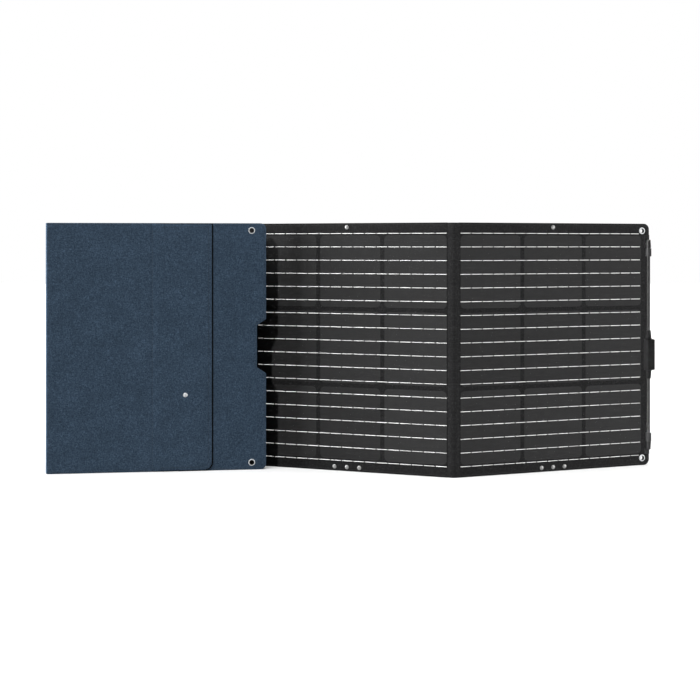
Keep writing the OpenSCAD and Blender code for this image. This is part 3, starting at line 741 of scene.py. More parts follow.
def make_finishes(scene):
    """All the materials, made once from the settings."""
    if FINISHES:
        return
    cloth, cells, fittings = scene.case_cloth, scene.case_cells, scene.case_fittings
    weave = cloth.weave, cloth.fleck
    blue = [list(yarn) for yarn in (cloth.blue_dark, cloth.blue_light)]
    black = [list(yarn) for yarn in (cloth.black_dark, cloth.black_light)]
    plastic = list(fittings.plastic)
    FINISHES.update(
        blue=woven_cloth("heather_blue_cloth", *blue, *weave),
        black=woven_cloth("black_cloth", *black, *weave),
        # Painted light: the crease bands' front cloth is the black cloth drawn 1.2 times lighter, to brighten
        # creases that the lights leave dark
        hinge=woven_cloth("hinge_cloth", *(shaded(yarn, 1.2) for yarn in black), *weave),
        webbing=webbing("strap_webbing", *black, 0.0016, 0.2),
        # Partly painted shadow: the flap's edge cord is drawn far darker than the black cloth, for the shadow
        # under the flap's edge
        binding=webbing("flap_binding", shaded(black[0], 0.1), shaded(black[0], 0.4), 0.0012, 0.03),
        blue_thread=thread("blue_thread", (0.045, 0.068, 0.098, 1)),
        black_thread=thread("black_thread", (0.030, 0.030, 0.031, 1)),
        ribbon=ribbon_finish("tinned_ribbon", list(cells.ribbon)),
        film=film_finish("clear_film", list(cells.cell)),
        metal=bright_metal("plated_metal", list(fittings.metal), 0.5, 0.35),
        eyelet=bright_metal("white_plated_metal", list(fittings.eyelet), 0.5, 0.1),
        steel=bright_metal("plain_steel", (0.5, 0.5, 0.5, 1), 0.4),
        copper=bright_metal("flat_copper", (0.72, 0.35, 0.2, 1), 0.4),
        plastic=moulded("moulded_plastic", plastic, 0.5),
        # Painted light: the anchors and collars are copies of the moulded plastic drawn 1.5 and 4 times
        # lighter, for the lit sides and highlights of the handle's fittings
        anchor=moulded("handle_anchors", shaded(plastic, 1.5), 0.5),
        collar=moulded("handle_collars", shaded(plastic, 4.0), 0.38),
        cable=moulded("cable_sheath", list(fittings.cable), 0.42, grain=0.0004, gloss=0.4),
        grip=moulded("soft_grip", list(fittings.grip), 0.72, grain=0.0009, gloss=0.25),
        resin=moulded("diode_resin", (0.02, 0.02, 0.022, 1), 0.35),
    )
    for panel in WIDTH:
        FINISHES[f"cell_{panel}"] = cell_finish(f"solar_cell_{panel}", panel, list(cells.cell))


def settle(piece, body, slot, *nodes):
    """Rides on a body and stands for CAD nodes, which it hides; its slot is not used."""
    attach(piece, body)
    if nodes:
        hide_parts(*nodes)
    return piece


def repaint(finish, *nodes):
    """Gives carried-over CAD nodes a better material."""
    for name in nodes:
        mesh = frame["nodes"][name].data
        mesh.materials.clear()
        mesh.materials.append(FINISHES[finish])


def notch():
    """Corners of the finger notch in the cover's free side, from the top down."""
    middle = HEIGHT / 2
    return [(0, middle + NOTCH_MOUTH / 2), (NOTCH_DEPTH, middle + NOTCH_FLOOR / 2),
            (NOTCH_DEPTH, middle - NOTCH_FLOOR / 2), (0, middle - NOTCH_MOUTH / 2)]


def panel_outline(panel, spacing=0.012):
    """Panel edge: free corners round, fold corners nearly square, and the cover's notch in its free side."""
    left, right = (FREE_CORNER if panel == free else FOLD_CORNER for free in (1, 4))
    corners, radii = rectangle(0, 0, WIDTH[panel], HEIGHT), [left, right, right, left]
    if panel == 1:
        corners += notch()
        radii += [NOTCH_CORNER] * 4
    return rounded_loop(corners, radii, spacing)


def eyelets(panel):
    """x-z places of a panel's eyelets, none on the inner panels."""
    return [(EYELET_X[panel], z) for z in (EYELET_EDGE, HEIGHT - EYELET_EDGE) if panel in EYELET_X]


def eyelet_holes(panel):
    """Circles round a panel's eyelets."""
    return [circle_loop(place, EYELET_HOLE) for place in eyelets(panel)]


def studs(panel):
    """x-z places of a panel's studs, none on the cover."""
    if panel not in STUD_X:
        return []
    x = STUD_X[panel]
    return [(x, HEIGHT - STUD_EDGE)] + [(x + i * STUD_PITCH, STUD_EDGE) for i in (-1, 0, 1)]


def quarter(level, wide, deep, count=6):
    """Rim rows on a quarter ellipse from a face to the side: inset = wide (1 - sin a),
    y = level + deep (1 - cos a)."""
    return [(wide * (1 - math.sin(a)), level + deep * (1 - math.cos(a)))
            for a in np.linspace(0, math.pi / 2, count)]


def round_rim(low, high, reach, count):
    """Rim rows on a round edge: inset = half (1 - cos a), y = middle + half sin a, for a within the reach."""
    middle, half = (low + high) / 2, (high - low) / 2
    return [(half * (1 - math.cos(a)), middle + half * math.sin(a))
            for a in np.linspace(-reach, reach, count)]


def flap_order(points):
    """Order of x-z points from below to above, by their angle seen from the middle of the flap's fold."""
    return np.argsort(np.arctan2(points[:, 1] - HEIGHT / 2, FLAP_FOLD - points[:, 0]))


def across_panel(panel):
    """Placing of a y-z section carried across a panel."""

    def place(section, across):
        return to_row(panel, np.column_stack((across, section)))

    return place


# Pieces that single lights pick out or leave out
HANDLE = ("handle_anchors", "anchor_rivets", "handle_cable", "handle_collars", "soft_grip")
THIRD_FRONT = ("front_cloth_3", "cells_3", "ribbon_dashes_3", "clear_film_3", "fold_23_right_front")

# Directions that the far lights come from, with their spreads in degrees, sizes of the soft boxes, and half
# the floor's side
KEY_SPREAD = 2.5
BACK_FROM, BACK_SPREAD = (0.25, 0.80, 0.55), 40
FLOOR_FROM, FLOOR_SPREAD = (-0.2, -0.3, 1.0), 100
HANDLE_FROM, HANDLE_SPREAD = (-0.90, -0.40, 0.20), 12
GLINT_FROM, GLINT_SPREAD = (-0.35, -0.92, 0.17), 12
LEFT_BOX, RIGHT_BOX = (0.8, 1.8), (3.2, 1.8)
FLOOR_REACH = 14.0


class CASE_OT_studio(bpy.types.Operator):
    """Camera at the photograph's angle, pale floor, key light and soft boxes"""

    bl_idname = "solar_case.studio"
    bl_label = "Studio"

    def execute(self, context):
        scene, studio = context.scene, context.scene.case_studio
        self.camera(scene, studio)
        self.sky(scene, studio)
        floor = self.floor(studio)
        handle, third = ([item for item in bpy.data.objects if item.name in names]
                         for names in (HANDLE, THIRD_FRONT))
        case_only = self.links("case_only", [floor], "EXCLUDE")
        floor_only = self.links("floor_only", [floor], "INCLUDE")
        flagged = self.links("right_box_flags", [floor, *third, *handle], "EXCLUDE")
        unshaded = self.links("right_box_shades", handle, "EXCLUDE")
        self.sun(scene, "key", studio.key, studio.key_from, KEY_SPREAD, case_only)
        self.sun(scene, "back_fill", studio.back, BACK_FROM, BACK_SPREAD, case_only)
        self.sun(scene, "floor_light", studio.floor_light, FLOOR_FROM, FLOOR_SPREAD, floor_only)
        self.soft_box(scene, "left_box", studio.left, studio.left_at, LEFT_BOX, case_only)
        right = self.soft_box(scene, "right_box", studio.right, studio.right_at, RIGHT_BOX, flagged)
        right.light_linking.blocker_collection = unshaded
        handle_only = self.links("handle_only", handle, "INCLUDE")
        self.sun(scene, "handle_light", studio.handle, HANDLE_FROM, HANDLE_SPREAD, handle_only)
        ribbons = [item for item in bpy.data.objects if item.name.startswith("ribbon_dashes")]
        ribbons_only = self.links("ribbons_only", ribbons, "INCLUDE")
        glint = self.sun(scene, "glint", studio.glint, GLINT_FROM, GLINT_SPREAD, ribbons_only)
        glint.light_linking.blocker_collection = ribbons_only
        return {"FINISHED"}

    def camera(self, scene, studio):
        """Level camera with a shifted view."""
        data = bpy.data.cameras.new("camera")
        data.sensor_width, data.lens = 36.0, studio.lens
        data.shift_x, data.shift_y = studio.shift
        camera = bpy.data.objects.new("camera", data)
        camera.location, camera.rotation_euler = studio.camera, (math.pi / 2, 0, 0)
        scene.collection.objects.link(camera)
        scene.camera = camera
        scene.view_settings.view_transform = "Standard"

    def links(self, name, items, state):
        """Light-link collection of the given objects."""
        group = bpy.data.collections.new(name)
        for item in items:
            group.objects.link(item)
        for entry in group.collection_objects:
            entry.light_linking.link_state = state
        return group

    def sun(self, scene, name, strength, source, spread, receivers):
        """A far light from a direction, spread over an angle."""
        data = bpy.data.lights.new(name, "SUN")
        data.angle = math.radians(spread)
        return self.lamp(scene, data, strength, source, (0, 0, 0), receivers)

    def soft_box(self, scene, name, watts, place, size, receivers):
        """A rectangular light at a place, turned to the case's middle."""
        data = bpy.data.lights.new(name, "AREA")
        data.shape = "RECTANGLE"
        data.size, data.size_y = size
        return self.lamp(scene, data, watts, place, (0, 0, HEIGHT / 2), receivers)

    def lamp(self, scene, data, energy, place, target, receivers):
        """A light that looks from its place to the target, and lights only its receivers."""
        data.energy = energy
        lamp = bpy.data.objects.new(data.name, data)
        lamp.location = place
        lamp.rotation_euler = (Vector(place) - Vector(target)).to_track_quat("Z", "Y").to_euler()
        lamp.light_linking.receiver_collection = receivers
        scene.collection.objects.link(lamp)
        return lamp

    def sky(self, scene, studio):
        """White to the camera, dim to everything else."""
        world = bpy.data.worlds.new("studio")
        scene.world = world
        world.use_nodes = True
        nodes, links = world.node_tree.nodes, world.node_tree.links
        even = nodes["Background"]
        even.inputs[0].default_value, even.inputs[1].default_value = (1, 1, 1, 1), studio.sky
        white = nodes.new("ShaderNodeBackground")
        white.inputs[0].default_value = (1, 1, 1, 1)
        seen, mixed = nodes.new("ShaderNodeLightPath"), nodes.new("ShaderNodeMixShader")
        links.new(seen.outputs["Is Camera Ray"], mixed.inputs[0])
        links.new(even.outputs[0], mixed.inputs[1])
        links.new(white.outputs[0], mixed.inputs[2])
        links.new(mixed.outputs[0], nodes["World Output"].inputs[0])

    def floor(self, studio):
        """Level square with a faint mottle, that throws no light back onto the case."""
        made = Finish("pale_floor", 0.8)
        mottle = made.noise(made.coordinates("Object"), 0.4)
        colours = (0.3, shaded(studio.floor, 0.98)), (0.7, list(studio.floor))
        made.join(made.ramp(mottle, *colours), "Base Color")
        plan = np.array(rectangle(-FLOOR_REACH, -FLOOR_REACH, FLOOR_REACH, FLOOR_REACH))
        corners = np.insert(plan, 2, 0.0, axis=1)
        floor = mesh_object("floor", corners, [(np.arange(4)[None], plan)], made.material)
        floor.visible_diffuse = False
        return floor


# Panels' cloth: the face's level, the lip and wall of the front tray, the round of the back's edge, and what
# the front's two turned edges add to its flat size
CLOTH_FACE = FRONT + 0.0001
TRAY_LIP, TRAY_WALL = 0.0013, 0.0009
BACK_ROUND, TURNED = 0.0013, 0.006


class CASE_OT_panel_cloth(bpy.types.Operator):
    """Black front cloth turned round each panel's edge, and blue back cloth"""

    bl_idname = "solar_case.panel_cloth"
    bl_label = "Panel cloth"

    def execute(self, context):
        make_finishes(context.scene)
        turn = context.scene.case_cloth.edge_round
        tray = quarter(CLOTH_FACE, turn, turn)
        tray += [(0, TRAY_LIP), (TRAY_WALL, TRAY_LIP), (TRAY_WALL, -BOARD)]
        sheet = [(turn, BOARD), *reversed(quarter(BACK, turn, -BACK_ROUND))]
        for panel, width in WIDTH.items():
            outline, holes = panel_outline(panel), eyelet_holes(panel)
            front = shell(f"front_cloth_{panel}", panel, outline, tray, FINISHES["black"], holes,
                          relief=cloth_relief(panel, 0.00003, 0.09))
            settle(front, BODY[panel], "black_fabric", f"front_cover_{panel}", f"board_{panel}")
            back = shell(f"back_cloth_{panel}", panel, outline, sheet, FINISHES["blue"], holes,
                         relief=cloth_relief(10 + panel, 0.00012, 0.11))
            settle(back, BODY[panel], "blue_fabric", f"back_cover_{panel}")
        return {"FINISHED"}


# Ribbon dashes: share of a pitch under which a last one is left out, the shortest that is kept, and levels
LAST_DASH, SHORTEST_DASH = 0.05, 0.004
DASH_FOOT, DASH_TOP, DASH_CHAMFER = FRONT + 0.00006, FRONT - 0.0003, 0.00025

# Corners of a dash: 0 at its start and 1 at its end, below or above its middle line
DASH_CORNERS = np.array(((0, -1), (1, -1), (1, 1), (0, 1)))

# Where dashes and film stop beside the end panel's eyelets, and the height up to which dashes do
EYELET_ROOM, EYELET_REACH = EYELET_X[4] - 0.0085, EYELET_EDGE + 0.01

# Clear film: how far it goes past the cells, its margin, steps and corners, and its section
FILM_PAST, FILM_EDGE = (0.0006, 0.002), 0.015
FILM_RISE, FILM_CORNER = 0.0095, 0.0012
FILM_FACE, FILM_INSIDE, FILM_FOOT = FRONT - 0.0006, FRONT - 0.00042, FRONT + 0.00008
FILM_SECTION = ((0.0004, FILM_FACE), (0.0001, FILM_FACE + 0.00008), (0, FILM_FACE + 0.0002),
                (0, FILM_FOOT), (0.0003, FILM_FOOT), (0.0003, FILM_INSIDE))


class CASE_OT_cells(bpy.types.Operator):
    """Cells, dashed ribbons and clear film on every panel"""

    bl_idname = "solar_case.cells"
    bl_label = "Cells and ribbons"

    def execute(self, context):
        make_finishes(context.scene)
        for panel in WIDTH:
            repaint(f"cell_{panel}", f"cells_{panel}")
            dashes = self.dashes(panel, context.scene.case_cells)
            settle(dashes, BODY[panel], "cell_ribbon", f"ribbons_{panel}")
            settle(self.film(panel), BODY[panel], "clear_film", f"front_film_{panel}")
        return {"FINISHED"}

    def dashes(self, panel, cells):
        """Bars with a chamfered top on evenly spaced lines: dash i runs from i * pitch to
        (i + 1) * pitch - gap, counted from the panel's side at fold 12 or 34."""
        low, high = ACTIVE[panel]
        pitch, half = cells.dash_pitch, cells.dash_width / 2
        near = np.arange(math.ceil((high - low) / pitch - LAST_DASH)) * pitch
        far = np.minimum(near + pitch - cells.dash_gap, high - low)
        from_right = panel in (1, 3)
        starts, ends = (high - far, high - near) if from_right else (low + near, low + far)
        lines = np.linspace(cells.line_edge, HEIGHT - cells.line_edge, cells.lines)
        start, end = (np.tile(part, len(lines)) for part in (starts, ends))
        height = np.repeat(lines, len(starts))
        if panel == 4:
            outer = np.minimum(height, HEIGHT - height) < EYELET_REACH
            end = np.where(outer, np.minimum(end, EYELET_ROOM), end)
        keep = end - start > SHORTEST_DASH
        start, end, height = (part[keep, None] for part in (start, end, height))
        right, up = DASH_CORNERS.T
        shoulder = DASH_TOP + 0.6 * DASH_CHAMFER
        rings = []
        for level, pull in ((DASH_FOOT, 0.0), (shoulder, 0.0), (DASH_TOP, DASH_CHAMFER)):
            x = np.where(right == 0, start + pull, end - pull)
            rings.append(np.stack((x, np.full(x.shape, level), height + up * (half - pull)), -1))
        points = np.stack(rings, 1).reshape(-1, 3)
        one = np.concatenate((loop_faces(3, 4), [[0, 1, 2, 3], [11, 10, 9, 8]]))
        count, size = len(start), len(rings) * len(right)
        faces = (one[None] + (np.arange(count) * size)[:, None, None]).reshape(-1, 4)
        piece = mesh_object(f"ribbon_dashes_{panel}", to_row(panel, points), [(faces, points[:, (0, 2)])],
                            FINISHES["ribbon"], sharp=30, recalculate=True)
        tone = np.random.default_rng(40 + panel).beta(2.2, 1.3, count)
        paint_points(piece, "tone", np.repeat(tone, size))
        return piece

    def film(self, panel):
        """Tray of film over the ribbons, stepped round the end panel's eyelets."""
        low, high = ACTIVE[panel][0] - FILM_PAST[0], ACTIVE[panel][1] + FILM_PAST[1]
        bottom, top = FILM_EDGE, HEIGHT - FILM_EDGE
        corners = rectangle(low, bottom, high, top)
        if panel == 4:
            step = EYELET_ROOM
            corners[1:3] = [(step, bottom), (step, bottom + FILM_RISE), (high, bottom + FILM_RISE),
                            (high, top - FILM_RISE), (step, top - FILM_RISE), (step, top)]
        outline = rounded_loop(corners, [FILM_CORNER] * len(corners), 0.03)
        return shell(f"clear_film_{panel}", panel, outline, FILM_SECTION, FINISHES["film"], spacing=0.05)


# Folds: each one's two axes and the panels on its left and right
FOLDS = {
    12: ("fold_12_cover", "fold_12", 1, 2),
    23: ("fold_23", "fold_23_far", 2, 3),
    34: ("fold_34", "fold_34_far", 3, 4),
}

# A layer's side of the hinge plane, its level on the panel, and how far its bend reaches over the strip
FOLD_LAYERS = {"front": (1, 0.0020, 0.0062), "back": (-1, 0.0019, 0.0018)}

# Half thickness, gap at both ends, where a layer starts on its panel, and its run and level on the strip
FOLD_HALF, FOLD_END, FOLD_FLAT = 0.00045, 0.0003, HEIGHT - 0.0016
FOLD_ROOT, FOLD_RUN, FOLD_LEVEL = 0.0036, 0.0042, 0.0013

# Cover's back layer over the padding's side, and the ridge of the front layer between the last two panels
SPINE = ((0.0008, 0.0105), (0.0006, 0.0035))
RIDGE_LIFT, RIDGE_FOOT = 0.0003, (0.0055, 0.0022)
RIDGE = ((0.0016, 0.0050), (0.0, 0.0053))


class CASE_OT_folds(bpy.types.Operator):
    """Cloth that crosses the creases between panels: a black front layer, drawn lighter as painted light, and
    a blue back layer
    """

    bl_idname = "solar_case.folds"
    bl_label = "Fold cloth"

    def execute(self, context):
        make_finishes(context.scene)
        for number, (first, second, left, right) in FOLDS.items():
            near, far = axis_place(first), axis_place(second)
            strip = unit(far - near)
            sides = (("left", left, near, -ALONG[left], strip), ("right", right, far, ALONG[right], -strip))
            pieces = [self.layer(number, layer, side, -turned_left(strip))
                      for side in sides for layer in FOLD_LAYERS]
            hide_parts(f"hinge_strip_{number}")
            repaint("copper", f"link_leads_{number}")
        return {"FINISHED"}

    def layer(self, number, layer, side, strip_front):
        """One layer of cloth from a panel's edge to the middle of the strip."""
        name, panel, axis, _, across = side
        points = self.route(number, layer, side, strip_front)
        curve = through(points, 34)
        # The front layer takes the lightened hinge cloth, painted light on the crease
        finish, slot = ("hinge", "hinge_fabric") if layer == "front" else ("blue", "blue_fabric")
        stations = np.linspace(FOLD_END, HEIGHT - FOLD_END, 37)
        piece = band(f"fold_{number}_{name}_{layer}", curve, FOLD_HALF, stations, self.upright,
                     FINISHES[finish])
        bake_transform(piece)
        return piece

    def route(self, number, layer, side, strip_front):
        """Plan points of one layer: two on the panel's edge, then those on the strip."""
        _, panel, axis, inward, across = side
        sign, level, _ = FOLD_LAYERS[layer]
        front, middle = -turned_left(ALONG[panel]), STRIP_SPAN / 2
        edge = [axis + run * inward + sign * level * front for run in (FOLD_ROOT, CREASE)]
        rest = [axis + run * across + sign * FOLD_LEVEL * strip_front for run in (FOLD_RUN, middle)]
        if panel == 1 and layer == "back":
            edge = [axis + run * inward - depth * front for run, depth in SPINE]
        if number == 34 and layer == "front":
            edge = [point + RIDGE_LIFT * front for point in edge]
            foot, lift = RIDGE_FOOT
            rest = [axis + (middle - run) * across + rise * strip_front for run, rise in RIDGE]
            rest.insert(0, axis - foot * inward + lift * front)
        return edge + rest

    def upright(self, section, height):
        """Plan sections carried straight up."""
        return np.column_stack((section, height))


# Pocket: its room in the padding, the snap's hole, the padding's section and the cloth's turned edge
ROOM, ROOM_CORNER, SNAP_HOLE = (0.197, 0.014, 0.459, 0.526), 0.006, 0.0042
PADDING_SECTION = ((0.0011, BACK + 0.00005), (0.0004, BACK + 0.0006), (0.0001, 0.0050), (0, 0.0075),
                   (0.0001, 0.0100), (0.0004, PADDING - 0.0006), (0.0011, PADDING - 0.00005))
POCKET_ROUND, MOUTH_CORNER = 0.0013, 0.002
POCKET_SECTION = ((POCKET_ROUND, PADDING), (0.0003, PADDING + 0.0001),
                  *reversed(quarter(SHEET, POCKET_ROUND, -POCKET_ROUND, 7)))


class CASE_OT_pocket(bpy.types.Operator):
    """Padded cable pocket on the cover panel's back"""

    bl_idname = "solar_case.pocket"
    bl_label = "Cable pocket"

    def execute(self, context):
        make_finishes(context.scene)
        blue, holes, snap = FINISHES["blue"], eyelet_holes(1), circle_loop(SNAP, SNAP_HOLE)
        room = rounded_loop(rectangle(*ROOM), [ROOM_CORNER] * 4, 0.02)
        padding = shell("pocket_wall", 1, panel_outline(1), PADDING_SECTION, blue, [*holes, room, snap],
                        spacing=0.02)
        settle(padding, BODY[1], "padding", "pocket_padding")
        near = rounded_loop(rectangle(MOUTH_NEAR, 0, WIDTH[1], HEIGHT),
                            [MOUTH_CORNER, FOLD_CORNER, FOLD_CORNER, MOUTH_CORNER])
        front = shell("pocket_cloth", 1, near, POCKET_SECTION, blue, relief=cloth_relief(21, 0.0002, 0.12))
        settle(front, BODY[1], "blue_fabric", "pocket_front")
        radii = [FREE_CORNER, MOUTH_CORNER, MOUTH_CORNER, FREE_CORNER] + [NOTCH_CORNER] * 4
        far = rounded_loop(rectangle(0, 0, MOUTH_FAR, HEIGHT) + notch(), radii)
        border = shell("edge_cloth", 1, far, POCKET_SECTION, blue, [*holes, snap],
                       relief=cloth_relief(22, 0.00015, 0.12))
        settle(border, BODY[1], "blue_fabric", "edge_sheet")
        repaint("plastic", "junction_tray", "junction_lid", "cable_gland")
        repaint("steel", "junction_screws")
        repaint("resin", "bypass_diodes")
        return {"FINISHED"}


# Flap: the part sewn down past its fold, corners, the bend's reach to both sides, and the sizes of the dark
# cord on its free edge, partly a bound edge and partly painted shadow
FLAP_SEWN, FLAP_MIDDLE, FLAP_BEND = 0.0075, (FLAP_IN + FLAP_OUT) / 2, 0.004
FLAP_CORNERS = (0.017, 0.002, 0.002, 0.002)
SEWN_RUN, SEWN_SHARE, SEWN_GAP = 0.010, 0.35, 0.00003
BOUND_FROM, BOUND_DEEP, BOUND_LEVEL = FLAP_FOLD - 0.006, 0.00115, FLAP_MIDDLE - 0.0002
BOUND_OUT, BOUND_WIDE, BOUND_MORE = 0.0011, 0.0009, 0.0005


class CASE_OT_flap(bpy.types.Operator):
    """Pocket flap with a bound edge, drawn darker as painted shadow, sewn down along its fold"""

    bl_idname = "solar_case.flap"
    bl_label = "Pocket flap"

    def execute(self, context):
        make_finishes(context.scene)
        sewn = FLAP_FOLD + FLAP_SEWN
        corners = rectangle(FLAP_FREE, FLAP_INSET, sewn, HEIGHT - FLAP_INSET)
        outline = rounded_loop(corners, FLAP_CORNERS, 0.008)
        flap = shell("flap_cloth", 1, outline, round_rim(FLAP_IN, FLAP_OUT, 1.35, 9), FINISHES["blue"],
                     spacing=0.008, relief=cloth_relief(31, 0.00025, 0.13), warp=self.sewn_down)
        to_row(1, (FLAP_FOLD + FLAP_BEND, FLAP_MIDDLE, HEIGHT / 2))
        to_row(1, (FLAP_FOLD - FLAP_BEND, FLAP_MIDDLE, HEIGHT / 2))
        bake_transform(flap)
        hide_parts("pocket_flap")
        settle(self.binding(outline), "flap", "black_fabric")
        repaint("eyelet", "flap_snap_cap", "flap_snap_stud")
        return {"FINISHED"}

    def sewn_down(self, local):
        """Past the fold line the cloth thins and comes down onto the pocket: y eases to a share of its
        height above the pocket's sheet."""
        share = smooth_step((local[:, 0] - FLAP_FOLD + FLAP_BEND) / SEWN_RUN)
        low = SHEET + SEWN_GAP + SEWN_SHARE * (local[:, 1] - FLAP_IN)
        moved = local.copy()
        moved[:, 1] = (1 - share) * local[:, 1] + share * low
        return moved

    def binding(self, outline):
        """Very dark cord round the free edge, partly a bound edge and partly painted shadow under the flap's
        edge: both its distance from the cloth's edge and its width grow where the edge is upright."""
        free = outline[:, 0] < BOUND_FROM
        normal = outward(outline)[free]
        facing = np.abs(normal[:, :1])
        edge = outline[free] + BOUND_OUT * facing * normal
        order = flap_order(edge)
        path = to_row(1, np.insert(edge[order], 1, BOUND_LEVEL, axis=1))
        behind = np.append(turned_left(ALONG[1]), 0.0)
        wide = BOUND_WIDE + BOUND_MORE * facing[order, 0]
        return tube("flap_binding", path, behind, BOUND_DEEP, wide, FINISHES["binding"])


# Kickstand: half widths at the foot and the hinge, its heights and corners
KICK_FOOT, KICK_TOP = 0.048, 0.075
KICK_LOW, KICK_HIGH = 0.003, 0.516
KICK_CORNERS = (0.010, 0.010, 0.0025, 0.0025)

# Hem over its hinge: a section in y and z, half thickness, flat size, and where its bend starts and ends
HEM_ROUTE = ((0.0038, 0.5370), (0.0039, 0.5240), (0.0058, 0.5180), (0.00735, 0.5125), (0.0075, 0.5060),
             (0.0075, 0.4980))
HEM_HALF, HEM_FLAT = 0.0006, (0.147, 0.040)
HEM_START, HEM_END = (0.0045, 0.5215), (0.0065, 0.5070)

# Stay strap: level, heights, half thickness, width, and the heights where its bend starts and ends
STRAP_LEVEL, STRAP_LOW, STRAP_HIGH = 0.0035, 0.003, 0.212
STRAP_HALF, STRAP_WIDE = 0.0006, 0.025
STRAP_START, STRAP_END = 0.022, 0.200


class CASE_OT_kickstands(bpy.types.Operator):
    """Stiff cloth kickstands on three backs, with their hinge cloth and stay straps"""

    bl_idname = "solar_case.kickstands"
    bl_label = "Kickstands"

    def execute(self, context):
        make_finishes(context.scene)
        rim = round_rim(KICK_IN, KICK_OUT, 1.4, 11)
        for panel, x in STUD_X.items():
            outline = rounded_loop([(x - KICK_FOOT, KICK_LOW), (x + KICK_FOOT, KICK_LOW),
                                    (x + KICK_TOP, KICK_HIGH), (x - KICK_TOP, KICK_HIGH)], KICK_CORNERS)
            stand = shell(f"kickstand_cloth_{panel}", panel, outline, rim, FINISHES["blue"],
                          relief=cloth_relief(50 + panel, 0.00012, 0.1))
            settle(stand, f"kick_{panel}", "blue_fabric", f"kickstand_{panel}")
            self.hinge(panel, x)
            self.strap(panel, x)
        return {"FINISHED"}

    def hinge(self, panel, x):
        """Hem from the panel's back over the top of the kickstand."""
        half = HEM_FLAT[0] / 2
        piece = band(f"kick_hem_{panel}", through(HEM_ROUTE, 36), HEM_HALF,
                     np.linspace(x - half, x + half, 15), across_panel(panel), FINISHES["blue"])
        to_row(panel, (x, *HEM_START))
        to_row(panel, (x, *HEM_END))
        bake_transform(piece)

    def strap(self, panel, x):
        """Flat webbing from the panel's foot to the kickstand, folded away at rest."""
        curve = np.insert(np.linspace(STRAP_LOW, STRAP_HIGH, 40)[:, None], 0, STRAP_LEVEL, axis=1)
        half = STRAP_WIDE / 2
        piece = band(f"stay_webbing_{panel}", curve, STRAP_HALF, np.linspace(x - half, x + half, 7),
                     across_panel(panel), FINISHES["webbing"])
        to_row(panel, (x, STRAP_LEVEL, STRAP_START))
        to_row(panel, (x, STRAP_LEVEL, STRAP_END))
        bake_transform(piece)
        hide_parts(f"stay_strap_{panel}")


# Eyelet: outside of its rim, height of the roll, outside of the barrel, and how far out its bore is painted
# almost black as shade
EYELET_RIM, EYELET_ROLL, EYELET_BARREL, BORE_PAINTED_SHADE = 0.0075, 0.0011, 0.0054, EYELET_BORE + 0.0007


class CASE_OT_fittings(bpy.types.Operator):
    """Rolled eyelets, and the plating of the studs"""

    bl_idname = "solar_case.fittings"
    bl_label = "Metal fittings"

    def execute(self, context):
        make_finishes(context.scene)
        for panel, back in ((1, SHEET), (4, BACK)):
            profile = self.rolled(FRONT, -1) + self.rolled(back, 1)[::-1]
            piece = revolved(f"rolled_eyelets_{panel}", panel, eyelets(panel), profile, FINISHES["eyelet"])
            # Painted shade: section points near the bore are marked, and the eyelet finish draws them almost
            # black, for the shade inside the barrel
            radius = np.array(profile)[:, 0]
            dark = np.tile(radius < BORE_PAINTED_SHADE, len(piece.data.vertices) // len(profile))
            paint_points(piece, "bore", dark)
            settle(piece, BODY[panel], "bright_metal", f"eyelets_{panel}")
        repaint("metal", *(f"snap_studs_{panel}" for panel in STUD_X))
        return {"FINISHED"}

    def rolled(self, level, sign):
        """Section of one rim from the bore to the barrel's outside:
        r = bore + (rim - bore) * (1 - cos a) / 2, y = level + sign * roll * sin(a)^0.8."""
        arc = [(EYELET_BORE + (EYELET_RIM - EYELET_BORE) * (0.5 - 0.5 * math.cos(a)),
                level + sign * EYELET_ROLL * math.sin(a) ** 0.8) for a in np.linspace(0.0, math.pi, 11)[1:-1]]
        return [(EYELET_BORE, level), *arc, (EYELET_RIM, level), (EYELET_BARREL, level)]


# Grip: its body's width and depths behind and before the cable, the heights where it steps out, the step's
# run, the taper and radii of its two necks, the bore, and the cable's place on the end panel
GRIP_WIDE, GRIP_BEHIND, GRIP_BEFORE = 0.0195, 0.0065, 0.012
GRIP_LOW, GRIP_HIGH, GRIP_STEP = 0.212, 0.284, 0.003
NECK_TAPER, NECK_THIN, NECK_MORE = 0.0185, 0.0051, 0.0014
GRIP_BORE, GRIP_SQUARE = 0.00378, 6.0
CABLE = np.array((WIDTH[4] - 0.0069, FRONT - 0.0075))


